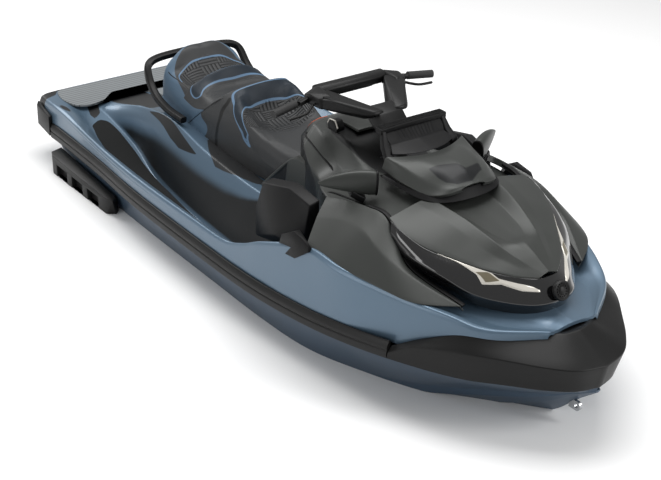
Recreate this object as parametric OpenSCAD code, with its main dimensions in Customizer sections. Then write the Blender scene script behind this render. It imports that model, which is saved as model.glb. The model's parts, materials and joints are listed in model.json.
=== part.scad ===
// Personal watercraft afloat. Millimetres; +X bow, +Y port, +Z up.
// Origin on the centreline amidships, at the waterline.

/* [Hull] */
// height of the rub rail
rail_h = 75; // [50:1:90]
// how far the rub rail stands out of the side
rail_out = 20; // [12:1:30]

/* [Pump] */
// outside radius of the pump housing
pump_r = 92; // [80:1:100]
// bore of the pump housing
pump_bore_r = 80; // [70:1:86]
// impeller radius
impeller_r = 77; // [60:1:78]
// number of impeller blades
blades = 4; // [3:1:5]
// radius of the drive shaft
shaft_r = 14; // [10:1:18]
// x of the steering nozzle's pivot
nozzle_x = -1510; // [-1530:5:-1480]
// height of the pump's centreline
pump_z = -128; // [-140:1:-110]

/* [Controls] */
// steering column lean, from upright
column_lean = 35; // [20:1:45]
// handlebar half width to the grip ends
bar_half = 412; // [360:1:430]
// grip radius
grip_r = 17; // [14:1:20]
// height of the bar's centre
bar_z = 872; // [850:1:890]
// x of the bar's centre
bar_x = 170; // [120:1:200]

/* [Covers] */
// half width of the glovebox lid
glove_w = 70; // [60:1:75]
// length of the glovebox lid
glove_l = 160; // [120:1:170]
// half width of the storage bin
bin_w = 150; // [100:1:170]

/* [Hidden] */
$fn = 48;

// ---- helpers ----

// point on a smooth curve through four rows, t from 0 to 1
function curve(a, b, c, d, t) = 0.5 * (2 * b + (c - a) * t
  + (2 * a - 5 * b + 4 * c - d) * t * t
  + (3 * b - a - 3 * c + d) * t * t * t);

// rows resampled with k steps between neighbours
function fine(rows, k) = let (n = len(rows)) [
  for (i = [0:n - 2]) for (s = [0:k - 1])
    curve(rows[max(i - 1, 0)], rows[i], rows[i + 1],
      rows[min(i + 2, n - 1)], s / k),
  rows[n - 1]];

// value of column c at x in rows that start with x
function at(rows, x, c) = lookup(x, [for (r = rows) [r[0], r[c]]]);

// a half section [[y, z], ...] from the centre out, mirrored
function both(x, half) = [
  for (i = [len(half) - 1:-1:1]) [x, -half[i][0], half[i][1]],
  for (p = half) [x, p[0], p[1]]];

// closed solid between a top and a bottom grid of points
module skin(top, bottom) {
  n = len(top);
  m = len(top[0]);
  o = n * m;
  polyhedron(
    points = [for (r = top) for (p = r) p, for (r = bottom) for (p = r) p],
    faces = [
      for (i = [0:n - 2]) for (j = [0:m - 2])
        let (a = i * m + j) each [
          [a, a + 1, a + m + 1], [a, a + m + 1, a + m],
          [o + a, o + a + m + 1, o + a + 1], [o + a, o + a + m, o + a + m + 1]],
      for (i = [0:n - 2]) let (a = i * m, b = a + m - 1) each [
        [a, a + m, o + a + m], [a, o + a + m, o + a],
        [b, o + b + m, b + m], [b, o + b, o + b + m]],
      for (j = [0:m - 2]) let (e = (n - 1) * m + j) each [
        [j + 1, j, o + j], [j + 1, o + j, o + j + 1],
        [e, e + 1, o + e + 1], [e, o + e + 1, o + e]]],
    convexity = 8);
}

// solid tube of flat-sided rings, each ring a list of points
module rings(list) {
  n = len(list);
  m = len(list[0]);
  polyhedron(
    points = [for (r = list) for (p = r) p],
    faces = [
      [for (j = [0:m - 1]) j],
      [for (j = [m - 1:-1:0]) (n - 1) * m + j],
      for (i = [0:n - 2]) for (j = [0:m - 1])
        let (a = i * m + j, b = i * m + (j + 1) % m) each [
          [a, b + m, b], [a, a + m, b + m]]],
    convexity = 8);
}

// convex block around points
module block(points) hull() polyhedron(points = points,
  faces = [for (i = [1:len(points) - 2]) [0, i, i + 1]]);

module mirror_y(side) mirror([0, side < 0 ? 1 : 0, 0]) children();

// rod between two points
module rod(a, b, r) {
  d = b - a;
  translate(a)
    rotate([0, acos(d[2] / norm(d)), atan2(d[1], d[0])])
      cylinder(h = norm(d), r = r);
}

// round tube along a smooth path
function unit(v) = v / norm(v);
function ring(p, t, r, n) = let (u = unit(cross(t, [0.31, 0.17, 0.93])), v = cross(unit(t), u))
  [for (a = [0:n - 1]) p + r * (cos(360 * a / n) * u + sin(360 * a / n) * v)];
module tube(points, r, n = 14) {
  q = fine(points, 5);
  m = len(q) - 1;
  rings([for (i = [0:m]) ring(q[i], q[min(i + 1, m)] - q[max(i - 1, 0)], r, n)]);
}

// ---- shape of the hull and deck ----

// x, keel z, chine y, chine z, rail y (outside), rail bottom z, joint z inboard
lines = fine([
  [-1475, -235, 480, -36, 560, 150, 185],
  [-1300, -245, 497, -30, 567, 152, 108],
  [-1000, -245, 508, -26, 582, 154, 108],
  [-600, -245, 515, -25, 615, 158, 108],
  [-100, -245, 520, -25, 627, 160, 108],
  [300, -245, 525, -22, 627, 162, 108],
  [600, -240, 508, -17, 608, 172, 185],
  [850, -220, 440, 2, 578, 190, 190],
  [1105, -178, 345, 38, 520, 212, 205],
  [1325, -98, 215, 88, 410, 212, 205],
  [1490, 5, 112, 122, 290, 212, 205],
  [1600, 112, 50, 160, 170, 212, 205],
  [1690, 190, 12, 196, 24, 212, 205]], 3);

function rail_y(x) = at(lines, x, 4);
function rail_z(x) = at(lines, x, 5);
// the joint between hull and deck, by distance from the centre
function joint_z(r, y) = let (a = r[2], b = r[4] - rail_out,
    e = r[5] + rail_h / 2 - (r[0] > 900 ? min(36, (r[0] - 900) / 5) : 0))
  y <= a ? r[6] : r[6] + (e - r[6]) * min((y - a) / max(b - a, 1), 1);

// x, then y and z of each deck line from the centre out
deck_lines = fine([
  [-1705, 0, 318, 120, 318, 240, 318, 330, 318, 400, 317, 450, 316,
    485, 314, 512, 306, 524, 280, 530, 235],
  [-1535, 0, 320, 140, 320, 255, 320, 335, 320, 400, 320, 450, 319,
    495, 321, 528, 324, 538, 312, 542, 235],
  [-1395, 0, 322, 150, 322, 262, 322, 300, 306, 330, 288, 430, 280,
    475, 310, 525, 328, 545, 316, 549, 235],
  [-1125, 0, 370, 215, 370, 252, 392, 290, 325, 312, 205, 470, 205,
    522, 285, 562, 320, 572, 306, 576, 236],
  [-825, 0, 415, 225, 415, 276, 440, 322, 325, 372, 160, 492, 160,
    535, 275, 582, 310, 594, 296, 596, 238],
  [-525, 0, 385, 225, 385, 282, 390, 332, 275, 405, 140, 502, 140,
    545, 275, 594, 306, 604, 292, 606, 240],
  [-125, 0, 345, 215, 345, 286, 366, 342, 255, 430, 135, 508, 135,
    552, 276, 596, 306, 605, 292, 607, 240],
  [125, 0, 372, 225, 372, 290, 378, 345, 255, 436, 135, 508, 135,
    556, 285, 598, 312, 606, 298, 608, 240],
  [265, 0, 380, 230, 380, 296, 376, 352, 300, 438, 240, 510, 240,
    556, 320, 596, 356, 604, 340, 606, 242],
  [400, 0, 385, 240, 385, 305, 376, 362, 360, 440, 350, 510, 360,
    555, 400, 588, 420, 598, 404, 601, 245],
  [665, 0, 440, 240, 440, 320, 440, 390, 440, 450, 448, 505, 470,
    545, 500, 568, 508, 580, 492, 586, 255],
  [865, 0, 450, 240, 450, 315, 440, 380, 430, 430, 430, 470, 440,
    510, 478, 546, 495, 558, 475, 560, 265],
  [1105, 0, 440, 190, 436, 255, 430, 310, 418, 350, 412, 390, 420,
    425, 452, 458, 462, 468, 442, 476, 280],
  [1275, 0, 436, 120, 430, 180, 418, 230, 404, 270, 398, 310, 405,
    350, 436, 385, 442, 392, 425, 402, 280],
  [1400, 0, 428, 90, 418, 140, 400, 180, 392, 220, 390, 255, 398,
    280, 412, 305, 412, 312, 402, 322, 280],
  [1535, 0, 402, 40, 400, 60, 396, 80, 392, 95, 392, 104, 396,
    110, 400, 118, 398, 124, 392, 132, 280]], 2);

function deck_top(r) = [for (k = [0:8]) [r[1 + 2 * k], r[2 + 2 * k]],
  [min(r[19], rail_y(max(r[0], -1475)) - rail_out), r[20]]];
function line_at(x) = [for (c = [0:6]) at(lines, x, c)];
// underside: the joint plus a gap; hollow over the engine bay
function deck_low(r) = let (l = line_at(max(r[0], -1475)),
    bay = r[0] > -1100 && r[0] < 240, t = deck_top(r)) [
  for (k = [0:9]) let (y = min(t[k][0], t[9][0] - (9 - k) * 3), z = t[k][1])
    [y, r[0] < -1475 ? 152
      : r[0] < -1400 ? min(205, z - 12)
      : bay && k < 2 ? z - 45
      : min(joint_z(l, y) + (r[0] > 480 && r[0] < 720 ? 9 : 4), z - 12)]];

function deck_row(x) = [for (c = [0:20]) at(deck_lines, x, c)];
function deck_z(x, y) = let (r = deck_row(x))
  lookup(y, [for (k = [0:9]) [r[1 + 2 * k], r[2 + 2 * k]]]);
// sheet lying on the deck; rows are x, inner y, outer y
module sheet(rows, low, high, whole) {
  t = [for (i = [0:len(rows) - 2]) for (k = [0, 0.5])
    rows[i] * (1 - k) + rows[i + 1] * k, rows[len(rows) - 1]];
  f = [0, 0.25, 0.5, 0.75, 1];
  function side(r, h) = [for (k = f) let (y = r[1] + (r[2] - r[1]) * k)
    [y, deck_z(r[0], y) + h]];
  skin([for (r = t) whole ? both(r[0], side(r, high))
      : [for (q = side(r, high)) [r[0], q[0], q[1]]]],
    [for (r = t) whole ? both(r[0], side(r, low))
      : [for (q = side(r, low)) [r[0], q[0], q[1]]]]);
}
// everything up to 1 mm above the deck, to trim what stands on it
module under_deck() skin(
  [for (r = deck_lines) both(r[0], [for (p = deck_top(r)) [p[0] * 1.001, p[1] + 1]])],
  [for (r = deck_lines) both(r[0], [for (p = deck_top(r)) [p[0] * 1.001, -100]])]);

// half section of the hull: bottom from keel to side
function hull_low(r) = let (k = r[1], cy = r[2], cz = r[3],
    sy = r[4] - rail_out - 1, sz = r[5] + rail_h / 2
      - (r[0] > 900 ? min(36, (r[0] - 900) / 5) : 0)) [
  [0, k], [cy * 0.3, k + (cz - k) * 0.26], [cy * 0.6, k + (cz - k) * 0.55],
  [cy * 0.63, k + (cz - k) * 0.5], [cy * 0.93, k + (cz - k) * 0.84],
  [cy * 0.95, k + (cz - k) * 0.8], [cy, cz],
  [cy + (sy - cy) * 0.5, cz + (sz - cz) * 0.45],
  [sy - 1, min(sz - 4, r[5] - 2)]];
function hull_top(r) = [for (p = hull_low(r)) [p[0], max(joint_z(r, p[0]), p[1] + 3)]];

module hull_form() skin([for (r = lines) both(r[0], hull_top(r))],
  [for (r = lines) both(r[0], hull_low(r))]);

// ---- hull side ----

module lower_hull() color("#5b7184") difference() {
  hull_form();
  // engine bay
  translate([-880, -200, -155]) cube([680, 400, 370]);
  // pump tunnel, open aft and below
  translate([-1500, -128, -300]) cube([445, 256, 290]);
  // intake duct from the bottom up to the pump
  block([for (y = [-85, 85]) each [[-1060, y, -205], [-1060, y, -50],
    [-620, y, -205], [-560, y, -300], [-1060, y, -300]]]);
  // shaft passage to the engine bay
  translate([-1070, 0, pump_z]) rotate([0, 90, 0]) cylinder(h = 240, r = 24);
  // seat of the bow eye
  translate([1500, -7, 63]) cube([120, 14, 42]);
}

module deck() color("#6e8295") skin(
  [for (r = deck_lines) both(r[0], deck_top(r))],
  [for (r = deck_lines) both(r[0], deck_low(r))]);

// ---- bumpers and rails ----

// x, y and z of the bottom, crease and top lines of the bumper
bumper_lines = [
  [1112, 520, 216, 516, 240, 498, 268],
  [1200, 480, 216, 484, 300, 450, 320],
  [1310, 424, 216, 432, 326, 388, 366],
  [1400, 365, 216, 375, 336, 325, 392],
  [1500, 276, 216, 292, 334, 205, 396],
  [1600, 182, 214, 204, 328, 112, 398],
  [1670, 92, 214, 116, 322, 66, 398],
  [1697, 0, 214, 0, 316, 0, 398]];

module bow_bumper() color("#303030") difference() {
  bumper_ring();
  under_deck();
}
module bumper_ring() {
  t = fine(bumper_lines, 3);
  side = [for (r = t) let (k = (r[0] - 1112) / 585) [
    [r[0], r[1], r[2]],
    [r[0] + 20 * k, r[3], r[4]],
    [r[0] - 125 * k * k, r[5], r[6]],
    [r[0] - 128 * k * k, max(r[1] - 32, r[5] * 0.94), r[2] + 4]]];
  n = len(side);
  rings([each side, for (i = [n - 2:-1:0]) [for (p = side[i]) [p[0], -p[1], p[2]]]]);
}

module rub_rail(side) color("#2c2c2c") mirror_y(side) {
  xs = [for (x = [-1530:88:1052]) x, 1108];
  rings([for (x = xs) let (y = rail_y(max(x, -1475)), z = rail_z(x), h = rail_h)
    [[x, y - rail_out + 1, z], [x, y - 4, z], [x, y, z + 8], [x, y, z + h - 22],
      [x, y - 12, z + h], [x, y - rail_out + 1, z + h]]]);
}

module stern_bumper(side) color("#333333") mirror_y(side) difference() {
  block([
  [-1722, 470, 160], [-1722, 470, 275], [-1700, 535, 160], [-1700, 535, 285],
  [-1690, 548, 170], [-1690, 548, 270], [-1536, 562, 160], [-1536, 562, 262],
  [-1536, 545, 160], [-1536, 545, 262], [-1708, 470, 160], [-1708, 470, 290]]);
  under_deck();
  translate([0, 5, 2]) under_deck();
}

// ---- mats ----

mat_edge = [[-1680, 425], [-1655, 445], [-1560, 470], [-1450, 445], [-1415, 380],
  [-1395, 240]];
module platform_mat() color("#8e9293") difference() {
  union() {
    translate([0, 0, 300]) linear_extrude(26)
      polygon([each mat_edge, for (i = [5:-1:0]) [mat_edge[i][0], -mat_edge[i][1]]]);
    sheet([[-1440, 0, 150], [-1380, 0, 150], [-1130, 0, 150]], -9, 6, true);
  }
  under_deck();
}

module footwell_mat(side) color("#2d2e2e") mirror_y(side) difference() {
  sheet([[-1280, 330, 420], [-1200, 318, 452], [-1060, 335, 478],
    [-900, 372, 482], [-700, 394, 488], [-400, 420, 494], [-100, 442, 498],
    [180, 448, 500]], 0, 5, false);
  under_deck();
}

// ---- seats ----

// x of the top and of the foot, half width, z of five lines from the
// centre out, z of the foot
rear_rows = fine([
  [-1045, -1030, 150, 475, 474, 470, 465, 455, 388],
  [-1030, -1015, 196, 668, 660, 625, 590, 540, 400],
  [-995, -1000, 212, 702, 697, 662, 628, 585, 418],
  [-945, -965, 215, 640, 636, 612, 600, 565, 421],
  [-884, -930, 215, 598, 600, 590, 585, 545, 421],
  [-810, -905, 215, 582, 583, 582, 575, 530, 417],
  [-768, -892, 215, 592, 592, 588, 575, 528, 415],
  [-740, -880, 215, 668, 655, 622, 590, 530, 412],
  [-700, -855, 215, 600, 602, 600, 580, 530, 408],
  [-640, -840, 214, 585, 588, 590, 578, 535, 404],
  [-570, -822, 213, 605, 606, 602, 590, 550, 398],
  [-497, -806, 212, 648, 648, 640, 615, 565, 394]], 2);
front_rows = fine([
  [-492, -803, 212, 650, 650, 642, 615, 565, 394],
  [-458, -790, 211, 684, 676, 655, 612, 560, 390],
  [-422, -762, 210, 580, 588, 628, 605, 555, 388],
  [-380, -700, 209, 550, 556, 596, 590, 540, 386],
  [-330, -620, 208, 533, 538, 572, 570, 518, 382],
  [-270, -520, 206, 527, 530, 548, 545, 490, 375],
  [-180, -360, 200, 525, 526, 532, 520, 460, 364],
  [-90, -200, 188, 524, 524, 522, 505, 448, 362],
  [0, -50, 172, 526, 526, 522, 500, 446, 368],
  [60, 50, 158, 533, 533, 526, 505, 450, 378],
  [105, 105, 150, 545, 545, 532, 512, 460, 382]], 2);

// height over which the sides lean, less behind the passenger's bolster
function lean_h(x) = x > -480 || (x > -800 && x < -650) ? 200 : 400;

// a point leans from the foot's x towards the top's as it gets higher
module seat(rows) difference() {
  skin(
    [for (r = rows) let (h = [[0, r[3]], [r[2] * 0.4, r[4]], [r[2] * 0.7, r[5]],
        [r[2] * 0.88, r[6]], [r[2] * 0.97, r[7]], [r[2], (r[7] + r[8]) / 2 + 10]])
      [for (p = both(0, h))
        [r[1] + (r[0] - r[1]) * min(1, (p[2] - r[8]) / min(lean_h(r[0]), r[3] - r[8])),
          p[1], p[2]]]],
    [for (r = rows) let (h = [for (k = [0, 0.4, 0.7, 0.88, 0.97, 1]) [r[2] * k, r[8] - 12]])
      both(r[1] - 12 * (r[0] - r[1]) / min(lean_h(r[0]), r[3] - r[8]), h)]);
  under_deck();
}

module rear_seat() color("#47494a") seat(rear_rows);
module front_seat() color("#47494a") seat(front_rows);

module grab_handle() color("#2a2a2a") {
  half = [[-735, 262, 462], [-850, 270, 472], [-960, 274, 510],
    [-1040, 272, 575], [-1082, 256, 645], [-1094, 190, 668], [-1096, 90, 672]];
  tube([each half, for (i = [6:-1:0]) [half[i][0], -half[i][1], half[i][2]]], 16);
  // brackets down to the deck behind the seat
  for (y = [-70, 70]) translate([-1100, y - 12, 383]) cube([8, 24, 280]);
}

// ---- sides ----

module sponson(side) color("#3b3d3e") mirror_y(side) difference() {
  block([[-1480, 528, -40], [-1480, 560, -30], [-1480, 530, 110],
    [-1480, 585, 100], [-870, 560, -12], [-900, 528, -20], [-870, 560, 90],
    [-850, 590, 80], [-900, 600, -5], [-1440, 600, -30], [-1440, 600, 95],
    [-900, 605, 85]]);
  hull_form();
  for (x = [-1400, -1240, -1080]) translate([x, 575, 0]) cube([110, 60, 60]);
}

module speaker(side) color("#262626") mirror_y(side) difference() {
  block([[215, 420, 340], [215, 500, 340], [215, 420, 470], [215, 500, 470],
    [250, 440, 600], [250, 490, 590], [545, 420, 612], [545, 470, 602],
    [545, 420, 400], [545, 505, 400], [420, 545, 440], [420, 430, 640],
    [420, 480, 630]]);
  under_deck();
  translate([0, 2, 2]) under_deck();
}

module vent(side) color("#1e1e1e") mirror_y(side) difference() {
  block([[500, 590, 425], [620, 592, 440], [700, 588, 500], [690, 580, 530],
    [600, 582, 545], [520, 584, 500], [500, 560, 425], [620, 565, 440],
    [700, 560, 500], [600, 555, 545]]);
  under_deck();
  translate([0, 2, 2]) under_deck();
  side_form();
}

module side_form() block([[552, 392, 625], [562, 380, 632], [830, 372, 640],
  [862, 372, 636], [640, 505, 560], [820, 500, 545], [665, 566, 516],
  [865, 546, 505], [1155, 448, 470], [1262, 318, 446], [1262, 300, 430],
  [1000, 340, 560], [600, 400, 480], [700, 400, 450]]);

module side_panel(side) color("#4d504e") mirror_y(side) difference() {
  side_form();
  under_deck();
  console_form(2);
  hood_cut();
  fascia_form(2);
}

// ---- nose ----

hood_rows = fine([
  [880, 345, 672, 668, 640], [960, 350, 690, 672, 618],
  [1060, 320, 676, 652, 588], [1170, 250, 648, 622, 560],
  [1270, 180, 612, 590, 540], [1340, 110, 578, 565, 528],
  [1388, 50, 550, 546, 525]], 2);
fascia_rows = fine([
  [980, 352, 640, 612], [1060, 352, 602, 570], [1160, 322, 575, 540],
  [1270, 262, 545, 505], [1360, 190, 522, 485], [1430, 120, 505, 478],
  [1462, 70, 495, 475]], 2);

module hood() color("#4d504e") skin(
  [for (r = hood_rows) both(r[0], [[0, r[2]], [r[1] * 0.45, r[2] - 4],
    [r[1] * 0.75, r[3]], [r[1], r[4] + 14]])],
  [for (r = hood_rows) both(r[0], [[0, r[4] - 4], [r[1] * 0.45, r[4] - 4],
    [r[1] * 0.75, r[4] - 4], [r[1], r[4] - 4]])]);

module fascia_form(g) skin(
  [for (r = fascia_rows) both(r[0], [[0, r[2] + g], [r[1] * 0.5, r[2] + g],
    [r[1] * 0.8, r[2] - 4 + g], [r[1] + g, r[3] + 4 + g]])],
  [for (r = fascia_rows) both(r[0], [[0, 380], [r[1] * 0.5, 380],
    [r[1] * 0.8, 380], [r[1] + g, 380]])]);

module nose_fascia() color("#151515") difference() {
  fascia_form(0);
  under_deck();
  hood_cut();
  for (s = [1, -1]) mirror_y(s) headlight_form();
  translate([1453, 0, 505]) rotate([0, 68, 0])
    translate([0, 0, -2]) cylinder(h = 40, r = 34);
}

module hood_cut() skin(
  [for (r = hood_rows) both(r[0], [[0, 800], [r[1] + 2, 800]])],
  [for (r = hood_rows) both(r[0], [[0, r[4] - 6], [r[1] + 2, r[4] - 6]])]);

module headlight(side) color("#b9b3a2") mirror_y(side) difference() {
  headlight_form();
  hood_cut();
}

module headlight_form() block([[1095, 346, 585], [1180, 318, 560], [1300, 245, 530], [1395, 160, 512],
    [1425, 118, 505], [1400, 172, 505], [1300, 255, 515], [1180, 330, 545],
    [1100, 352, 575]]);

module nose_cap() color("#141414")
  translate([1453, 0, 505]) rotate([0, 68, 0]) cylinder(h = 16, r = 33);

// ---- console and covers ----

console_rows = fine([
  [24, 96, 134, 664, 650, 624], [62, 120, 166, 708, 692, 650],
  [112, 140, 196, 728, 716, 650], [150, 150, 216, 734, 716, 632],
  [225, 172, 240, 732, 702, 600], [330, 190, 270, 722, 655, 580],
  [430, 215, 330, 690, 630, 590], [560, 225, 370, 660, 635, 600],
  [700, 225, 366, 662, 640, 610], [872, 225, 340, 662, 645, 615]], 2);

module console_form(g) skin(
  [for (r = console_rows) both(r[0], [[0, r[3] + g], [r[1] * 0.7, r[3] + g],
    [r[1], r[4] + g], [r[2] + g, r[5] + g]])],
  [for (r = console_rows) both(r[0], [[0, 350], [r[1] * 0.7, 350],
    [r[1], 350], [r[2] + g, 350]])]);

module console() color("#4a4c4b") difference() {
  console_form(0);
  under_deck();
  // the aft end stands clear over the seat
  block([for (y = [-300, 300]) each [[0, y, 300], [116, y, 300], [116, y, 556],
    [60, y, 575], [0, y, 610]]]);
  // glovebox
  translate([178, -glove_w + 12, 560]) cube([glove_l - 20, 2 * glove_w - 24, 300]);
  // storage bin
  translate([575, -bin_w, 490]) cube([270, 2 * bin_w, 300]);
  // steering column passage
  translate([475, 0, 725]) rotate([0, -column_lean, 0])
    translate([0, 0, -140]) cylinder(h = 300, r = 60);
}

module glovebox_lid() color("#565857")
  translate([168, -glove_w, 735]) cube([glove_l, 2 * glove_w, 14]);

lid_rows = fine([
  [572, 170, 716, 705], [640, 188, 742, 720], [705, 192, 806, 800],
  [780, 200, 782, 770], [860, 205, 745, 735], [930, 205, 718, 712],
  [975, 170, 704, 702]], 2);

module storage_lid() color("#5a5c5b") skin(
  [for (r = lid_rows) both(r[0], [[0, r[2]], [r[1] * 0.6, r[2]],
    [r[1] * 0.85, r[3]], [r[1], (r[3] + 690) / 2]])],
  [for (r = lid_rows) both(r[0], [[0, 690], [r[1] * 0.6, 690],
    [r[1] * 0.85, 690], [r[1], 690]])]);

module instrument_visor() color("#232323")
  block([[572, -150, 722], [572, 150, 722], [566, -165, 850], [566, 165, 850],
    [580, -165, 865], [580, 165, 865], [600, -160, 852], [600, 160, 852],
    [640, -120, 748], [640, 120, 748], [660, -100, 780], [660, 100, 780]]);

module mirror_pod(side) color("#4d504e") mirror_y(side)
  block([[581, 450, 715], [660, 250, 748], [690, 262, 735], [700, 275, 700],
    [690, 285, 665], [600, 440, 690], [640, 300, 650], [585, 400, 690]]);

module starboard_mirror() mirror_pod(-1);
module port_mirror() mirror_pod(1);

// ---- steering ----

module handlebar() color("#2b2b2b") {
  // column
  translate([475, 0, 725]) rotate([0, -column_lean, 0])
    translate([0, 0, -110]) cylinder(h = 180, r = 38);
  // neck
  block([for (y = [-60, 60]) each [[470, y, 760], [395, y, 812], [350, y, 850],
    [380, y, 868], [440, y, 850], [500, y, 790]]]);
  // arms and bar
  for (s = [1, -1]) mirror_y(s) {
    block([[380, 30, 822], [440, 30, 860], [380, 75, 815], [430, 80, 850],
      [200, 165, 862], [200, 165, 905], [240, 215, 862], [240, 215, 905]]);
    block([[bar_x - 32, 0, 862], [bar_x + 32, 0, 862], [bar_x - 24, 0, 908],
      [bar_x + 24, 0, 908], [bar_x - 30, 200, 855], [bar_x + 66, 220, 855],
      [bar_x - 22, 200, 900], [bar_x + 60, 220, 906]]);
    rod([bar_x + 18, 190, 876], [bar_x + 38, 280, 866], 12);
  }
}

module grip(side) color("#1c1c1c") mirror_y(side)
  rod([bar_x + 22, 292, 864], [bar_x + 41, bar_half, 853], grip_r);

module lever(side) color("#202020") mirror_y(side)
  tube([[bar_x + 62, 232, 862], [bar_x + 95, 290, 848], [bar_x + 90, 370, 838]], 6, 10);

// ---- machinery ----

module engine_block() color("#3a3a3a")
  translate([-860, -185, -140]) cube([640, 370, 415]);

module pump_housing() color("#8a8d8f") difference() {
  translate([-1450, 0, pump_z]) rotate([0, 90, 0]) {
    translate([0, 0, 130]) cylinder(h = 260, r = pump_r);
    cylinder(h = 130, r1 = 60, r2 = pump_r);
  }
  translate([-1460, 0, pump_z]) rotate([0, 90, 0]) {
    translate([0, 0, 140]) cylinder(h = 280, r = pump_bore_r);
    cylinder(h = 140.01, r1 = 44, r2 = pump_bore_r);
  }
}

module impeller() color("#b4b6b8") translate([-1190, 0, pump_z])
  rotate([0, 90, 0]) {
    difference() {
      translate([0, 0, -70]) cylinder(h = 140, r1 = 22, r2 = 30);
      translate([0, 0, -80]) cylinder(h = 160, r = shaft_r);
    }
    for (b = [0:blades - 1]) rotate([0, 0, b * 360 / blades])
      rotate([55, 0, 0]) translate([20, -5, -46]) cube([impeller_r - 33, 8, 84]);
  }

module drive_shaft() color("#c2c4c6")
  translate([-1250, 0, pump_z]) rotate([0, 90, 0]) cylinder(h = 385, r = shaft_r);

module steering_nozzle() color("#9b9ea0") difference() {
  union() {
    translate([-1620, 0, pump_z]) rotate([0, 90, 0]) cylinder(h = 135, r1 = 50, r2 = 72);
    for (s = [0, 1]) translate([nozzle_x, 0, pump_z - 84 + s * 144]) cylinder(h = 24, r = 18);
  }
  translate([-1630, 0, pump_z]) rotate([0, 90, 0]) cylinder(h = 155, r1 = 42, r2 = 66);
}

function arc(r, a, b, n) = [for (i = [0:n]) let (q = a + (b - a) * i / n)
  [r * cos(q), r * sin(q)]];
module reverse_bucket() color("#5a5c5e")
  translate([nozzle_x, 0, pump_z]) rotate([90, 0, 0]) {
    translate([0, 0, -108]) linear_extrude(216)
      polygon([each arc(150, 106, 166, 16), each arc(142, 166, 106, 16)]);
    for (z = [-112, 104]) translate([0, 0, z]) linear_extrude(8) difference() {
      polygon([each arc(146, 110, 162, 12), each arc(22, 225, 47, 8)]);
      circle(8);
    }
  }

module intake_grate() color("#6f7274") {
  for (y = [-60, -20, 20, 60]) translate([-1050, y - 4, -240]) cube([432, 8, 14]);
  for (x = [-1052, -630]) translate([x, -84, -240]) cube([12, 168, 12]);
}

module ride_plate() color("#2e3032")
  translate([-1470, -120, -246]) cube([400, 240, 8]);

module boarding_ladder() color("#2a2c2d") {
  for (y = [150, 394]) translate([-1712, y, 124]) cube([230, 16, 16]);
  for (x = [-1612, -1498]) translate([x, 150, 124]) cube([16, 260, 16]);
  translate([-1704, 140, 132]) rotate([-90, 0, 0]) cylinder(h = 280, r = 8);
}

// tie-down plate with a bore across it
module eye_plate() difference() {
  union() {
    rotate([90, 0, 0]) translate([0, 0, -6]) cylinder(h = 12, r = 20);
    translate([-36, -6, -20]) cube([36, 12, 40]);
  }
  rotate([90, 0, 0]) translate([0, 0, -8]) cylinder(h = 16, r = 9);
}

module bow_eye() color("#c4c6c8") translate([1600, 0, 84]) eye_plate();

module stern_eyes() color("#c4c6c8") for (y = [-440, 440])
  translate([-1512, y, 60]) mirror([1, 0, 0]) eye_plate();

// ---- what is drawn ----

lower_hull();
deck();
bow_bumper();
rub_rail(-1);  // starboard_rub_rail
rub_rail(1);  // port_rub_rail
stern_bumper(-1);  // starboard_stern_bumper
stern_bumper(1);  // port_stern_bumper
platform_mat();
footwell_mat(-1);  // starboard_footwell_mat
footwell_mat(1);  // port_footwell_mat
rear_seat();
front_seat();
grab_handle();
sponson(-1);  // starboard_sponson
sponson(1);  // port_sponson
speaker(-1);  // starboard_speaker
speaker(1);  // port_speaker
vent(-1);  // starboard_vent
vent(1);  // port_vent
side_panel(-1);  // starboard_side_panel
side_panel(1);  // port_side_panel
hood();
nose_fascia();
headlight(-1);  // starboard_headlight
headlight(1);  // port_headlight
nose_cap();
console();
storage_lid();
instrument_visor();
starboard_mirror();
port_mirror();
glovebox_lid();
handlebar();
grip(-1);  // starboard_grip
grip(1);  // port_grip
lever(-1);  // throttle_lever
lever(1);  // brake_lever
engine_block();
pump_housing();
impeller();
drive_shaft();
steering_nozzle();
reverse_bucket();
intake_grate();
ride_plate();
boarding_ladder();
bow_eye();
stern_eyes();
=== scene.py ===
import json
import math

import bmesh
import bpy
import numpy as np
from mathutils import Matrix, Vector


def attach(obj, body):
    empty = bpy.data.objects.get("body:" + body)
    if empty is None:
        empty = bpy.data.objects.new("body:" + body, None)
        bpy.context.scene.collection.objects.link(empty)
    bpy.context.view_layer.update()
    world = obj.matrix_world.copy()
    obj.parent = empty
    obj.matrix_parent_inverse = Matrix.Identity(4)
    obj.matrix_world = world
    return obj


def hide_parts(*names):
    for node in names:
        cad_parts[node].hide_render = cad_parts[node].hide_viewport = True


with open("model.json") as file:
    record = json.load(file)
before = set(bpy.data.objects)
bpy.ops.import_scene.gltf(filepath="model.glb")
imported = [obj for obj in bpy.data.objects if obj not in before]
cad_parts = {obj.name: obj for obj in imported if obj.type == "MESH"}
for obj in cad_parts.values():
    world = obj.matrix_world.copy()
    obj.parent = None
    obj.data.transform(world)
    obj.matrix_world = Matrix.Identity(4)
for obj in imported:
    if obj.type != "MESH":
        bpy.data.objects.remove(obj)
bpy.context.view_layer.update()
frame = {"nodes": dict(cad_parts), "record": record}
scene = bpy.context.scene
nodes = frame["nodes"]
mm = 0.001  # the shapes below are in millimetres
sides = dict(starboard=np.array([1, -1, 1]), port=np.array([1, 1, 1]))  # factors that place a half shape


# surfaces

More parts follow.
